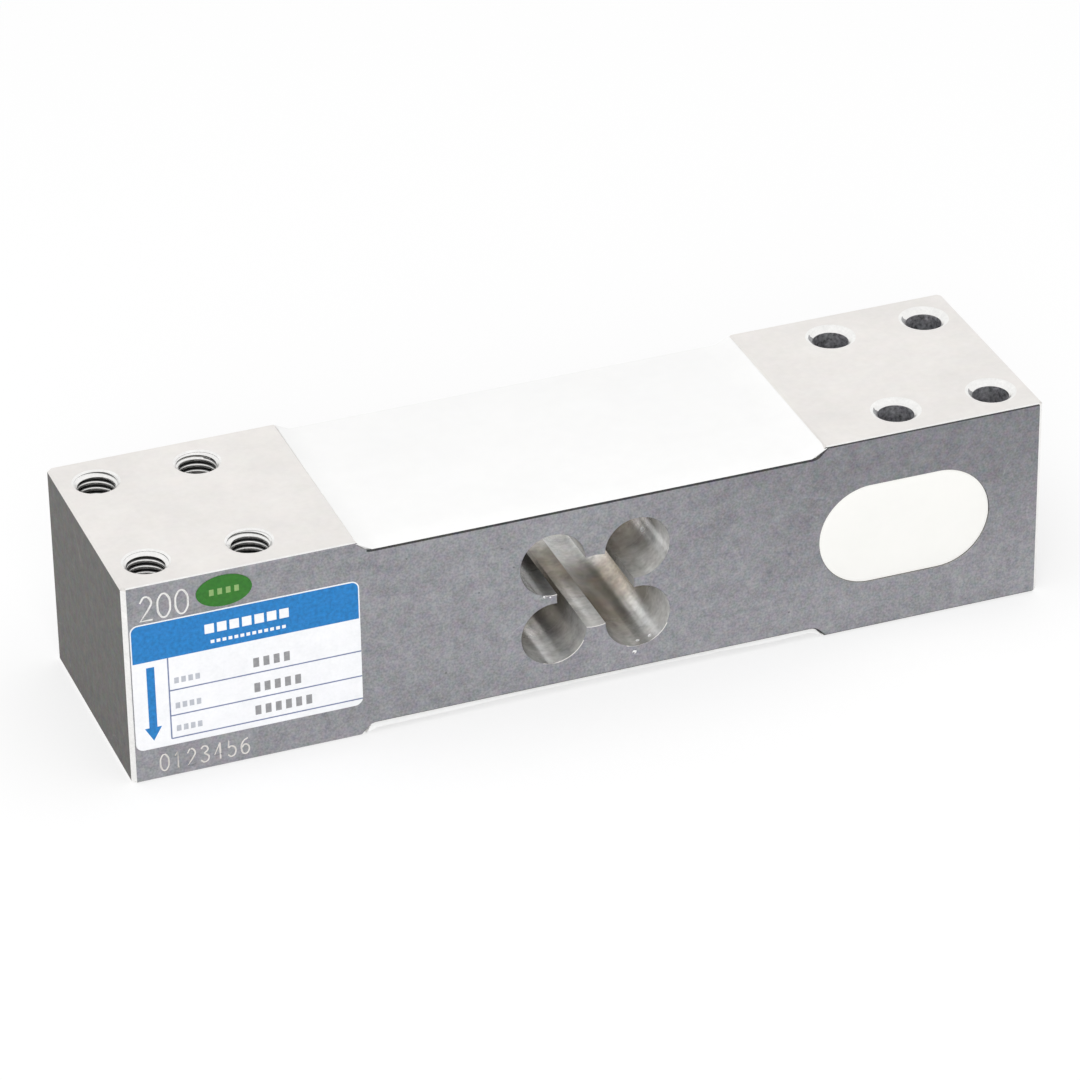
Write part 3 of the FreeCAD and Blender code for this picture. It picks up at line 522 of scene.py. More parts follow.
def stroke(points, bends, thickness):
    """One engraved line as a round bar along its points, given as (x, z) on the labelled face."""
    data = bpy.data.curves.new("bar", "CURVE")
    data.dimensions = "3D"
    data.bevel_depth = thickness / 2
    data.bevel_resolution = 1
    data.resolution_u = 6
    data.use_fill_caps = True
    spline = data.splines.new("BEZIER")
    spline.bezier_points.add(len(points) - 1)
    for knot, (x, z) in zip(spline.bezier_points, points):
        knot.co = (x, -half_width, z)
        knot.handle_left_type = knot.handle_right_type = "VECTOR" if bends == "straight" else "AUTO"
    spline.use_cyclic_u = bends == "closed"
    line = bpy.data.objects.new("bar", data)
    bpy.context.scene.collection.objects.link(line)
    only(line)
    bpy.ops.object.convert(target="MESH")
    return bpy.context.object


# Each digit is a few strokes in a box one wide and one high. Closed and round strokes bend, and
# straight ones turn.
oval = [(0.5 + 0.46 * math.sin(a * math.pi / 4), 0.5 + 0.5 * math.cos(a * math.pi / 4)) for a in range(8)]
digits = {
    "0": [("closed", oval)],
    "1": [("straight", [(0.2, 0.78), (0.5, 1.0), (0.5, 0.0)])],
    "2": [("round", [(0.06, 0.76), (0.48, 1.0), (0.9, 0.74), (0.66, 0.44)]),
          ("straight", [(0.66, 0.44), (0.04, 0.0), (0.95, 0.0)])],
    "3": [("round", [(0.08, 0.86), (0.48, 1.0), (0.84, 0.77), (0.42, 0.55)]),
          ("round", [(0.42, 0.55), (0.93, 0.28), (0.48, 0.0), (0.04, 0.16)])],
    "4": [("straight", [(0.7, 1.0), (0.04, 0.28), (0.95, 0.28)]), ("straight", [(0.7, 1.0), (0.7, 0.0)])],
    "5": [("straight", [(0.86, 1.0), (0.2, 1.0), (0.12, 0.56)]),
          ("round", [(0.12, 0.56), (0.52, 0.64), (0.92, 0.33), (0.5, 0.0), (0.05, 0.14)])],
    "6": [("round", [(0.82, 0.94), (0.34, 0.8), (0.06, 0.36), (0.48, 0.0), (0.92, 0.31), (0.5, 0.58),
                     (0.1, 0.4)])],
}


def engrave(piece, text, left, low, digit_height, digit_width, pitch, thickness, tilt=0.0):
    """Cuts a row of digits into the labelled face. A tilted punch marks one side of a digit less."""
    bars = []
    for place, digit in enumerate(text):
        x = left + place * pitch
        for bends, points in digits[digit]:
            spots = [(x + u * digit_width, low + v * digit_height) for u, v in points]
            bar = stroke(spots, bends, thickness)
            bar.rotation_euler = (tilt * math.cos(2.3 * place), 0, tilt * math.sin(1.7 * place + 1.0))
            pivot = Vector((x + digit_width / 2, -half_width, low + digit_height / 2))
            bar.location = pivot - bar.rotation_euler.to_matrix() @ pivot
            bars.append(place_in_mesh(bar))
    only(bars[0])
    for bar in bars:
        bar.select_set(True)
    bpy.ops.object.join()
    cutter = bpy.context.object
    apply_modifier(piece, "engraving", "BOOLEAN", operation="DIFFERENCE", object=cutter,
                   solver="EXACT", use_self=True)
    bpy.data.objects.remove(cutter)


def faces_front(centre, normal):
    return normal.y < -0.99


# The front face is first divided round the two rows of digits, so that cutting them leaves the rest
# of it in large flat faces.
left_face = -half_length
digits_right = left_face + 24 * mm
lower_digits_top = 6.2 * mm
upper_digits_foot = 32.2 * mm
for place, direction in (
    (Vector((digits_right, 0, 0)), Vector((1, 0, 0))),
    (Vector((0, 0, lower_digits_top)), Vector((0, 0, 1))),
    (Vector((0, 0, upper_digits_foot)), Vector((0, 0, 1))),
):
    pick_faces(block, faces_front)
    bpy.ops.mesh.bisect(plane_co=place, plane_no=direction)
    bpy.ops.object.mode_set(mode="OBJECT")
pick_faces(block, faces_front)
bpy.ops.mesh.quads_convert_to_tris(quad_method="BEAUTY", ngon_method="BEAUTY")
bpy.ops.object.mode_set(mode="OBJECT")
engrave(block, "200", left=left_face + 3.0 * mm, low=33.0 * mm, digit_height=4.8 * mm,
        digit_width=2.5 * mm, pitch=3.25 * mm, thickness=0.44 * mm)
engrave(block, "0123456", left=left_face + 5.2 * mm, low=1.5 * mm, digit_height=3.4 * mm,
        digit_width=1.7 * mm, pitch=2.5 * mm, thickness=0.36 * mm, tilt=math.radians(1.3))

# Chips at the cavity's front rim and on its walls: (x, y, z, radius), in millimetres. Their cut faces are
# painted near white and barely metallic, as painted glints.
chips = [(7.4, -23.2, 5.4, 0.46), (8.6, -21.4, 6.9, 0.46), (10.8, -21.6, 7.55, 0.50),
         (13.2, -11.7, 23.95, 0.46), (13.2, -12.3, 23.95, 0.46), (-9.9, -23.25, 20.95, 0.38),
         (-8.7, -23.2, 20.6, 0.34)]
for *place, radius in chips:
    centre = [part * mm for part in place]
    bpy.ops.mesh.primitive_ico_sphere_add(subdivisions=2, radius=radius * mm, location=centre)
    bite = bpy.context.object
    bite.data.materials.append(glinting_chip)
    place_in_mesh(bite)
    apply_modifier(block, "chip", "BOOLEAN", operation="DIFFERENCE", object=bite, solver="EXACT",
                   material_mode="TRANSFER")
    bpy.data.objects.remove(bite)

bolt_inset = 7 * mm
half_bolt_length = 9.5 * mm
half_bolt_width = 15 * mm
bolt_x = half_length - bolt_inset - half_bolt_length
bolt_places = [
    (x, y) for x in (-half_bolt_length, half_bolt_length) for y in (-half_bolt_width, half_bolt_width)
]
mouth_radius = 4.8 * mm
flare_angle = math.radians(22.5)
touching = 0.01 * mm


def break_rim(x, y, mouth, width):
    """Opens the top of one countersink into a shallow flare, this much wider than its mouth."""
    axis = Vector((x, y))
    depth = width / (1 / math.tan(flare_angle) - 1)
    pick_faces(block, lambda centre, normal: (
        0.3 < normal.z < 0.9 and centre.z > height / 2 and (centre.xy - axis).length < mouth))
    bpy.ops.mesh.bisect(plane_co=(0, 0, height - depth), plane_no=(0, 0, 1))
    bpy.ops.object.mode_set(mode="OBJECT")
    for point in block.data.vertices:
        away = (point.co.xy - axis).length
        if abs(point.co.z - height) < touching and abs(away - mouth) < 2 * touching:
            point.co.xy = axis + (point.co.xy - axis) * (mouth + width) / away


# The countersinks' rims are broken: narrowly at the threads, more at the fixed end's plain bores.
for middle, mouth, width in ((-bolt_x, 4.3, 0.10), (bolt_x, 4.4, 0.32)):
    for x, y in bolt_places:
        break_rim(middle + x, y, mouth * mm, width * mm)

close_slivers(block, 0.003 * mm)

cavity_half_length = 16 * mm
cavity_half_height = 14.5 * mm
recess_start = -43 * mm
dark_reflection_turns = (137, 171)


def in_digit(point):
    """The grooves of the digits, which lie just behind the labelled face and short of its edges."""
    behind = 0.002 * mm < point.y + half_width < 0.4 * mm
    return behind and left_face + 1 * mm < point.x < digits_right and point.z < height - 1 * mm


def near_cavity(point):
    """Whether a point lies in the length and height of the block that the cavity takes up."""
    return abs(point.x) < cavity_half_length and abs(point.z - height / 2) < cavity_half_height


def in_cavity(point, normal):
    return abs(normal.y) < 0.1 and near_cavity(point)


def in_chip(point):
    return any((point - Vector(place) * mm).length < radius * mm for *place, radius in chips)


def in_bolt_hole(point, middle):
    """Whether a point lies inside one of the four bolt holes round this middle."""
    return any(
        math.hypot(point.x - middle - x, point.y - y) < mouth_radius for x, y in bolt_places
    )


def in_any_hole(point):
    return in_bolt_hole(point, -bolt_x) or in_bolt_hole(point, bolt_x)


def on_corner(point, normal):
    """The bevels that run up the block's four upright corners."""
    return min(abs(normal.x), abs(normal.y)) > 0.5 and abs(point.x) > half_length - 1.2 * mm


def on_front_edge(point, normal):
    """The bevels along the front of the pads and recesses."""
    return -0.9 < normal.y < -0.5 and abs(normal.z) > 0.5 and point.y < -half_width + 1 * mm


def on_dark_reflection(point, normal):
    """A few degrees of each fixed end countersink, painted darker as a painted reflection."""
    place = point - Vector((bolt_x, 0, 0))
    x, y = min(bolt_places, key=lambda spot: math.hypot(place.x - spot[0], place.y - spot[1]))
    turn = math.degrees(math.atan2(place.y - y, place.x - x))
    conical = in_bolt_hole(point, bolt_x) and 0.3 < normal.z < 0.9
    return conical and point.z > height / 2 and dark_reflection_turns[0] < turn < dark_reflection_turns[1]


paint_faces(block, side_skin, lambda c, n: abs(n.y) > 0.99 and abs(c.y) > half_width - touching)
paint_faces(block, sawn_end, lambda c, n: abs(n.x) > 0.99 and abs(c.x) > half_length - touching)
# The front bevels from the recesses to the fixed end are painted nearly black, as painted shade under the
# bright edge line.
paint_faces(block, shaded_bevel, lambda c, n: on_front_edge(c, n) and c.x > recess_start)
paint_faces(block, side_skin, lambda c, n: on_front_edge(c, n) and c.x < recess_start)
# The cavity walls take the bored finish, with its painted light and shade.
paint_faces(block, bored, lambda c, n: in_cavity(c, n) and not in_chip(c))
paint_faces(block, bright_cut, lambda c, n: in_digit(c) and c.z > height / 2 or on_corner(c, n))
paint_faces(block, bright_cut, lambda c, n: in_any_hole(c) and abs(n.z) < 0.99)
paint_faces(block, shaded_root, lambda c, n: in_any_hole(c) and abs(n.z) < 0.1)
# The fixed end's bores below the countersink, their floors too, are painted dark as painted shade inside
# the holes.
paint_faces(block, drilled_shade, lambda c, n: (
    in_bolt_hole(c, bolt_x) and height / 2 < c.z < height - 0.5 * mm and not 0.3 < n.z < 0.95))
# A dark patch at the same place in each fixed end countersink: a painted reflection.
paint_faces(block, dark_reflection, on_dark_reflection)


# ---------------------------------------------------------------- threads
# The M8 threads are tapped in the same metal: a rounded ridge that climbs the wall of each hole,
# cut back where the countersink opens the hole's mouth.

thread_pitch = 1.25 * mm
thread_major = 4.0 * mm
thread_minor = 3.35 * mm
thread_overrun = 1.0 * mm
blind_depth = 7.0 * mm
ridge_root = 0.1 * mm
ridge_half_width = 0.50 * mm
ridge_end_clearance = 1.2 * mm
root_share = 0.36
turn_between_holes = math.radians(75)
mouth_foot = 4.35 * mm


def mouth_cutter(level, upward):
    """A 45 degree cone that flares out of a hole's mouth at this level."""
    reach = 3 * mm
    depth = 1.1 * mm
    sign = 1 if upward else -1
    bpy.ops.mesh.primitive_cone_add(
        vertices=64,
        radius1=mouth_foot - depth if upward else mouth_foot + reach,
        radius2=mouth_foot + reach if upward else mouth_foot - depth,
        depth=reach + depth,
        location=(0, 0, level + sign * (reach - depth) / 2),
    )
    return bpy.context.object


def helical_ridge(low, high, open_above):
    """One thread between two levels, round the Z axis. Its lower mouth is always open."""
    bpy.ops.mesh.primitive_circle_add(
        vertices=14, radius=1, fill_type="NGON", location=(thread_major, 0, low),
        rotation=(math.pi / 2, 0, 0),
    )
    ridge = bpy.context.object
    ridge.scale = (thread_major - thread_minor, ridge_half_width, 1)
    place_in_mesh(ridge)
    for point in ridge.data.vertices:
        point.co.x = min(point.co.x, thread_major + ridge_root)
    bpy.ops.object.mode_set(mode="EDIT")
    bpy.ops.mesh.select_all(action="SELECT")
    bpy.ops.mesh.dissolve_limited(angle_limit=math.radians(1))
    bpy.ops.object.mode_set(mode="OBJECT")
    apply_modifier(
        ridge, "climb", "SCREW", angle=2 * math.pi, screw_offset=thread_pitch, steps=36,
        render_steps=36, iterations=round((high - low) / thread_pitch), use_normal_calculate=True,
    )
    bpy.ops.object.mode_set(mode="EDIT")
    bpy.ops.mesh.select_all(action="SELECT")
    bpy.ops.mesh.remove_doubles(threshold=0.001 * mm)
    bpy.ops.mesh.fill_holes(sides=16)
    bpy.ops.mesh.normals_make_consistent(inside=False)
    bpy.ops.object.mode_set(mode="OBJECT")
    mouths = [(0.0, False), (height, True)] if open_above else [(0.0, False)]
    for level, upward in mouths:
        cone = mouth_cutter(level, upward)
        apply_modifier(ridge, "mouth", "BOOLEAN", operation="DIFFERENCE", object=cone, solver="EXACT")
        bpy.data.objects.remove(cone)
    close_slivers(ridge, 0.02 * mm)
    return ridge


through = helical_ridge(-thread_overrun, height + thread_overrun, True)
blind = helical_ridge(-thread_overrun, blind_depth, False)
root = thread_minor + root_share * (thread_major - thread_minor)
ridges = []
for pattern, middle in ((through, -bolt_x), (blind, bolt_x)):
    for turn, (x, y) in enumerate(bolt_places):
        only(pattern)
        bpy.ops.object.duplicate()
        ridge = bpy.context.object
        ridge.rotation_euler = (0, 0, turn_between_holes * turn)
        ridge.location = (middle + x, y, 0)
        place_in_mesh(ridge)
        ridge.data.materials.append(bright_cut)
        paint_faces(ridge, shaded_root, lambda c, n: (
            math.hypot(c.x - middle - x, c.y - y) > root
            and ridge_end_clearance < c.z < height - ridge_end_clearance))
        ridges.append(ridge)
    bpy.data.objects.remove(pattern)
only(block)
for ridge in ridges:
    ridge.select_set(True)
bpy.ops.object.join()


# ---------------------------------------------------------------- scraped edges
# A scraper has broken the cavity's rim and the top line of the front edges. The top line is cut bright.
# The rim takes the skin's colour, except where it faces up towards the load end on the lower lobes and the
# core, which is painted bright as a painted highlight. Then the block is finished.

rim_width = 0.10 * mm
front_line_width = 0.20 * mm
lower_lobes_top = 14 * mm
core_left = -11 * mm
core_right = -7 * mm


def on_rim(first, second):
    """The edges of the cavity in either side of the block."""
    same_side = abs(first.y - second.y) < touching and abs(abs(first.y) - half_width) < touching
    return same_side and near_cavity((first + second) / 2)


def on_front_line(first, second):
    """The pads' own edges along the front."""
    level = min(first.z, second.z) > height - touching
    return level and max(first.y, second.y) < -half_width + 0.4 * mm


def rim_highlight(centre, normal):
    """The part of the rim that faces up and to the load end, on the lower lobes and the core, painted
    bright as a painted highlight.
    """
    facing = normal.z > 0.30 and normal.x < 0.2 and 0.2 < abs(normal.y) < 0.9
    low = centre.z < lower_lobes_top or core_left < centre.x < core_right
    at_side = abs(centre.y) > half_width - 0.12 * mm
    return facing and low and abs(centre.x) < cavity_half_length and at_side


for edges, width, finish in (
    (on_rim, rim_width, side_skin), (on_front_line, front_line_width, bright_cut),
):
    pick_edges(block, edges)
    bpy.ops.mesh.bevel(offset=width, segments=1, material=block.data.materials.find(finish.name))
    bpy.ops.object.mode_set(mode="OBJECT")
# Painted highlight: the rim's up-facing part takes the bright pad finish.
paint_faces(block, milled, rim_highlight)
only(block)
bpy.ops.object.shade_smooth_by_angle(angle=math.radians(36))
apply_modifier(block, "flat_faces", "WEIGHTED_NORMAL", keep_sharp=True)
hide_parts("spring_element")
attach(block, "root")


# ---------------------------------------------------------------- gauge seals
# White silicone rubber, spread over the strain gauges in the top and bottom recesses. It is left a
# little crowned and uneven, climbs the ramps at its ends and hangs over the recess's long edges.

silicone = finish_of("silicone_rubber", (0.93, 0.93, 0.925), 0.0, 0.36, 0.03, 0.06,
                     Grain_Size=3.0, Grain=0.006, Cloud_Size=12.0, Cloud=0.012, Tint=0.004)
ripple = bpy.data.textures.new("ripple", "CLOUDS")
ripple.noise_scale = 13 * mm
crown = 0.22 * mm
recess_depth = 2 * mm

# The long edges' faces lie past side_face, the outermost points past side_row and end_row, and the
# points that may ripple short of inner_end. A cell of the rippled face is in millimetres.
above_floor = 0.3 * mm
top_face = 0.36 * mm
side_face = 22.5 * mm
side_row = 22.4 * mm
end_row = 43.0 * mm
inner_end = 42.5 * mm
side_gap = 0.06 * mm
back_lip = 0.4 * mm
ramp_climb = 1.75 * mm
ramp_gap = 0.02 * mm
cell_long = 2.0
cell_wide = 2.5

# How thick the rubber's front edge is, at places along the block: the top one even, the bottom one
# heaped where the spatula came off.
top_lip = [(-44, 0.10), (44, 0.10)]
bottom_lip = [(-44, 0.95), (-28, 0.85), (-18, 0.55), (4, 0.42), (24, 0.5), (33, 0.8), (40, 0.7), (44, 0.5)]


def lip_at(x, outline):
    """The thickness at a place, in a straight line between the points of an outline."""
    for (x1, thick1), (x2, thick2) in zip(outline, outline[1:]):
        if x <= x2 * mm or (x2, thick2) == outline[-1]:
            share = (x - x1 * mm) / ((x2 - x1) * mm)
            return (thick1 + (thick2 - thick1) * min(max(share, 0), 1)) * mm


def poured_seal(node, name, side, outline):
    """One seal, side 1 on top and -1 below."""
    seal = copy_of(node, name)
    floor_level = height / 2 + side * (height / 2 - recess_depth)

    def outside(centre, normal):
        """The seal's free face and its two long edges."""
        away = (centre.z - floor_level) * side
        free = normal.z * side > 0.8 and away > top_face
        return free or abs(normal.y) > 0.9 and abs(centre.y) > side_face

    across = [(x * cell_long * mm, Vector((1, 0, 0))) for x in range(-21, 22)]
    along = [(y * cell_wide * mm, Vector((0, 1, 0))) for y in range(-8, 9)]
    for place, normal in across + along:
        pick_faces(seal, outside)
        bpy.ops.mesh.bisect(plane_co=normal * place, plane_no=normal)
        bpy.ops.object.mode_set(mode="OBJECT")
    for point in seal.data.vertices:
        if (point.co.z - floor_level) * side < above_floor:
            continue
        if abs(point.co.y) > side_row:
            point.co.y = math.copysign(half_width - side_gap, point.co.y)
            thick = lip_at(point.co.x, outline) if point.co.y < 0 else back_lip
            point.co.z = floor_level + side * thick
        if abs(point.co.x) > end_row:
            climb = ramp_climb - (point.co.z - floor_level) * side
            point.co.x += math.copysign(climb - ramp_gap, point.co.x)
            point.co.z += side * climb
    top = seal.vertex_groups.new(name="top")
    inner = [
        point.index for point in seal.data.vertices
        if (point.co.z - floor_level) * side > above_floor and abs(point.co.x) < inner_end
        and abs(point.co.y) < side_row
    ]
    top.add(inner, 1.0, "REPLACE")
    apply_modifier(seal, "ripple", "DISPLACE", texture=ripple, strength=crown, mid_level=0.5,
                   vertex_group="top")
    seal.data.materials.append(silicone)
    only(seal)
    bpy.ops.object.shade_smooth_by_angle(angle=math.radians(40))
    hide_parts(node)
    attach(seal, "root")


poured_seal("top_gauge_seal", "top_silicone", 1, top_lip)
poured_seal("bottom_gauge_seal", "bottom_silicone", -1, bottom_lip)


# ---------------------------------------------------------------- potting
# Cream silicone cast into the cable pocket round the junction board. A thin ring at its edge is painted
# dark, as painted shade along the pocket's rim, and it stays a little crowned.

cream = finish_of("cream_silicone", (0.955, 0.95, 0.92), 0.0, 0.34, 0.03, 0.05,
                  Grain_Size=2.0, Grain=0.006, Cloud_Size=9.0, Cloud=0.012, Tint=0.004)
potting = copy_of("junction_potting", "pocket_potting")
potting_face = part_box("junction_potting")[0].y
shade_ring_width = 0.15 * mm
potting.data.materials.append(cream)
potting.data.materials.append(shaded_root)
# A ring round the face's edge gets the dark shaded finish: painted shade at the pocket's rim.
pick_faces(potting, lambda c, n: n.y < -0.9 and c.y < potting_face + touching)
potting.active_material_index = 1
bpy.ops.object.material_slot_assign()
bpy.ops.mesh.inset(thickness=shade_ring_width)
potting.active_material_index = 0
bpy.ops.object.material_slot_assign()

# The crown, as steps inwards from the edge: how wide each is and how far it rises, in millimetres.
for width, rise in ((0.2, 0.07), (0.4, 0.04), (1.2, 0.03), (2.4, 0.02), (3.0, 0.0)):
    bpy.ops.mesh.inset(thickness=width * mm, depth=rise * mm)
bpy.ops.object.mode_set(mode="OBJECT")
only(potting)
bpy.ops.object.shade_smooth_by_angle(angle=math.radians(40))
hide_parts("junction_potting")
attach(potting, "root")


# ---------------------------------------------------------------- type label
# A printed plastic sheet, stuck on at the load end: a blue band over a white field, ruled into
# rows, with an arrow that shows which way the load acts. It carries plain bars and no words.

field, given, result = group_of_nodes(
    "printed_field",
    [("Centre", Vector((0, 0, 0))), ("Half Size", Vector((1, 1, 1))), ("Corner", 0.05), ("Blur", 0.04),
     ("Pitch", 1000.0), ("Gap", 0.0)],
    [("Mask", float)],
)
in_metres = vector_maths(field, "SUBTRACT", put(field, "ShaderNodeTexCoord").outputs["Object"],
                         given.outputs["Centre"])
in_mm = vector_maths(field, "MULTIPLY", in_metres, (1 / mm, 0, 1 / mm))
past = vector_maths(field, "SUBTRACT", vector_maths(field, "ABSOLUTE", in_mm), given.outputs["Half Size"])
corner = put(field, "ShaderNodeCombineXYZ")
for axis in ("X", "Z"):
    field.links.new(given.outputs["Corner"], corner.inputs[axis])
rounded = vector_maths(field, "ADD", past, corner.outputs[0])
distance = vector_maths(field, "LENGTH", vector_maths(field, "MAXIMUM", rounded, (0, 0, 0)))
beyond = maths(field, "SUBTRACT", distance, given.outputs["Corner"])


def inside_edge(distance):
    """1 within an edge and 0 past it, with a soft step of the group's blur."""
    step = put(field, "ShaderNodeClamp")
    share = maths(field, "DIVIDE", distance, given.outputs["Blur"])
    field.links.new(maths(field, "SUBTRACT", 0.5, share), step.inputs["Value"])
    return step.outputs["Result"]


here = put(field, "ShaderNodeSeparateXYZ")
half = put(field, "ShaderNodeSeparateXYZ")
field.links.new(in_mm, here.inputs[0])
field.links.new(given.outputs["Half Size"], half.inputs[0])
along = maths(field, "ADD", here.outputs["X"], half.outputs["X"])
phase = maths(field, "MODULO", maths(field, "MAXIMUM", along, 0.0), given.outputs["Pitch"])
inked = maths(field, "SUBTRACT", given.outputs["Pitch"], given.outputs["Gap"])
into_gap = maths(field, "SUBTRACT", phase, inked)
marks = maths(field, "MULTIPLY", inside_edge(beyond), inside_edge(into_gap))
field.links.new(marks, result.inputs["Mask"])


def field_mask(tree, origin, left, right, low, high, corner=0.05, pitch=1000.0, gap=0.0):
    """The mask of one printed field, in millimetres from the sheet's lower left corner. A pitch and
    a gap break it into a row of marks."""
    node = put(tree, "ShaderNodeGroup", node_tree=field, Corner=corner, Pitch=pitch, Gap=gap)
    middle = Vector(((left + right) / 2 * mm, 0, (low + high) / 2 * mm))
    node.inputs["Centre"].default_value = origin + middle
    node.inputs["Half Size"].default_value = ((right - left) / 2, 1.0, (high - low) / 2)
    return node.outputs["Mask"]


ink_grain = 0.22
sheet_grain = 0.03


def printed_finish(name, sheet, fields, roughness):
    """A smooth sheet with inks laid one over the other. Each field is its ink and then either the
    place that field_mask takes or a function that gives the mask."""
    material = finish_of(name, sheet, 0.0, roughness, 0.004, 0.04,
                         Grain_Size=0.7, Grain=0.035, Mottle_Size=2.0, Mottle=0.02, Cloud_Size=8.0,
                         Cloud=0.03, Tint=0.012)
    tree = material.node_tree
    tree.nodes["Principled BSDF"].inputs["Specular IOR Level"].default_value = 0.35
    colour = sheet
    for ink, *place in fields:
        mask = place[0](tree) if callable(place[0]) else field_mask(tree, *place)
        colour = between(tree, mask, colour, ink)
    texture = grain_in(material)
    tree.links.new(colour, texture.inputs["Colour"])
    speckle = put(tree, "ShaderNodeMapRange", From_Min=0.0, From_Max=0.9, To_Min=ink_grain,
                  To_Max=sheet_grain)
    tree.links.new(red_of(tree, colour), speckle.inputs["Value"])
    tree.links.new(speckle.outputs["Result"], texture.inputs["Grain"])
    return material


label_corner, label_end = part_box("type_label")
label_wide = (label_end.x - label_corner.x) / mm
label_high = (label_end.z - label_corner.z) / mm
label_corner = Vector((label_corner.x, 0, label_corner.z))
band_blue = (0.013, 0.200, 0.530)
rule_blue = (0.17, 0.21, 0.36)
paper_white = (0.93, 0.935, 0.955)
caption_grey = (0.50, 0.52, 0.57)
value_dark = (0.30, 0.30, 0.31)
band_low = 18.0
row_levels = (11.2, 6.0, 1.3)
rule_left = 6.6
half_rule = 0.13
white_edge = 0.22
arrow_middle = 3.35
arrow_tip = 1.6
arrow_length = 2.8
arrow_half_width = 1.6
arrow_room = 1.75
arrow_sharpness = 25 / mm
shaft_half_width = 0.75


def arrowhead(tree):
    """The arrow's point: narrower towards its tip, and nothing above its barbs."""
    at = place_of(tree)
    across = maths(tree, "SUBTRACT", at["X"], label_corner.x + arrow_middle * mm)
    above_tip = maths(tree, "SUBTRACT", at["Z"], label_corner.z + arrow_tip * mm)
    slope = maths(tree, "MULTIPLY", above_tip, arrow_half_width / arrow_length)
    inside = maths(tree, "SUBTRACT", slope, maths(tree, "ABSOLUTE", across, 0.0))
    edge = put(tree, "ShaderNodeClamp")
    tree.links.new(maths(tree, "MULTIPLY", inside, arrow_sharpness), edge.inputs["Value"])
    box = field_mask(tree, label_corner, arrow_middle - arrow_room, arrow_middle + arrow_room,
                     arrow_tip - 0.1, arrow_tip + arrow_length)
    return maths(tree, "MULTIPLY", edge.outputs["Result"], box)


label_fields = [
    (band_blue, label_corner, white_edge, label_wide - white_edge, 10.0, label_high - white_edge, 1.3),
    (paper_white, label_corner, 0.0, label_wide, -1.0, band_low),
    (rule_blue, label_corner, rule_left - half_rule, rule_left + half_rule, row_levels[-1], band_low),
]
for level in row_levels:
    rule = (rule_left, label_wide, level - half_rule, level + half_rule)
    label_fields += [(rule_blue, label_corner, *rule)]
shaft = (arrow_middle - shaft_half_width, arrow_middle + shaft_half_width, 4.2, 16.8)
label_fields += [(band_blue, label_corner, *shaft), (band_blue, arrowhead)]


def row_of_marks(ink, left, low, count, wide, high, gap):
    """A row of small blocks where a printed word would be."""
    pitch = wide + gap
    return (ink, label_corner, left, left + count * pitch - gap, low, low + high, 0.1, pitch, gap)


label_fields += [
    row_of_marks(paper_white, left=13.6, low=21.3, count=7, wide=1.75, high=1.9, gap=0.55),
    row_of_marks(paper_white, left=14.6, low=19.2, count=13, wide=0.7, high=0.65, gap=0.4),
]
for level, count in zip(row_levels, (4, 5, 6)):
    label_fields += [
        row_of_marks(caption_grey, left=7.6, low=level + 1.3, count=4, wide=0.85, high=1.2, gap=0.45),
        row_of_marks(value_dark, left=22.2, low=level + 1.2, count=count, wide=1.1, high=1.9, gap=0.8),
    ]
label_print = printed_finish("label_print", paper_white, label_fields, 0.32)


def wear(node, material):
    """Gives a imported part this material."""
    nodes[node].data.materials.clear()
    nodes[node].data.materials.append(material)


wear("type_label", label_print)


# ---------------------------------------------------------------- oval sticker
# A small oval of green vinyl, stuck on by hand above the type label. Four plain pale marks stand
# in a row on it.

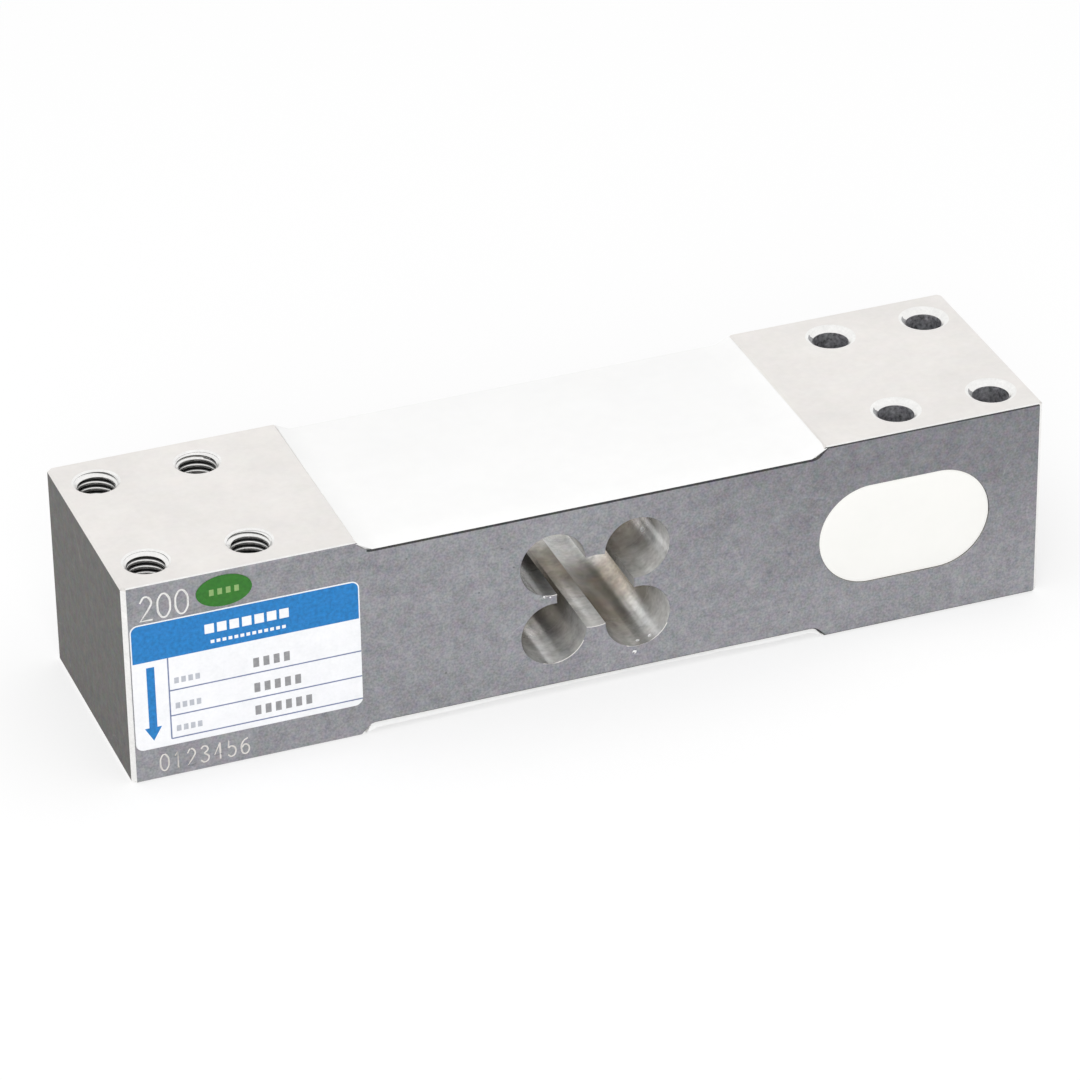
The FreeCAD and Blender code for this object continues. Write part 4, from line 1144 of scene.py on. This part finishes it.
oval_low, oval_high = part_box("oval_sticker")
oval_middle = (oval_low + oval_high) / 2
oval_middle.y = 0
leaf_green = (0.028, 0.168, 0.016)
pale_green = (0.26, 0.42, 0.15)
marks = [(pale_green, oval_middle, -2.75, 2.75, -0.62, 0.62, 0.1, 1.55, 0.7)]
wear("oval_sticker", printed_finish("oval_print", leaf_green, marks, 0.38))


# ---------------------------------------------------------------- gauges and wiring
# What the seals and the potting hide: strain gauges on amber film, copper terminals, enamelled
# wire, solder, and the junction board with its trim resistors.

film = finish_of("amber_film", (0.52, 0.26, 0.05), 0.0, 0.28, 0.004, 0.05,
                 Grain_Size=0.3, Grain=0.04, Cloud_Size=2.0, Cloud=0.06, Tint=0.01)
foil = finish_of("etched_foil", (0.56, 0.49, 0.40), 1.0, 0.30, 0.003, 0.06,
                 Stretch=Vector((1, 5, 1)), Grain_Size=0.5, Grain=0.08, Cloud_Size=2.0, Cloud=0.05,
                 Tint=0.01)
copper = finish_of("bare_copper", (0.80, 0.42, 0.26), 1.0, 0.32, 0.004, 0.06,
                   Grain_Size=0.3, Grain=0.06, Cloud_Size=2.0, Cloud=0.08, Tint=0.01)
enamel = finish_of("wire_enamel", (0.42, 0.10, 0.035), 0.3, 0.24, 0.003, 0.05,
                   Grain_Size=0.4, Grain=0.05, Cloud_Size=3.0, Cloud=0.10, Tint=0.01)
solder = finish_of("soft_solder", (0.62, 0.62, 0.60), 1.0, 0.30, 0.010, 0.08,
                   Grain_Size=0.25, Grain=0.08, Cloud_Size=0.8, Cloud=0.10, Tint=0.0)
laminate = finish_of("green_laminate", (0.030, 0.150, 0.060), 0.0, 0.36, 0.006, 0.06,
                     Stretch=Vector((1, 1, 1.6)), Grain_Size=0.35, Grain=0.12, Cloud_Size=5.0, Cloud=0.06,
                     Tint=0.01)
ceramic = finish_of("resistor_ceramic", (0.045, 0.045, 0.050), 0.0, 0.42, 0.006, 0.06,
                    Grain_Size=0.2, Grain=0.15, Cloud_Size=1.0, Cloud=0.10, Tint=0.005)
for node in nodes:
    for ending, material in (
        ("_film", film), ("_foil", foil), ("_pads", copper), ("_wires", enamel), ("_jumpers", copper),
        ("_joints", solder), ("_board", laminate), ("_resistor", ceramic),
    ):
        if node.endswith(ending):
            wear(node, material)
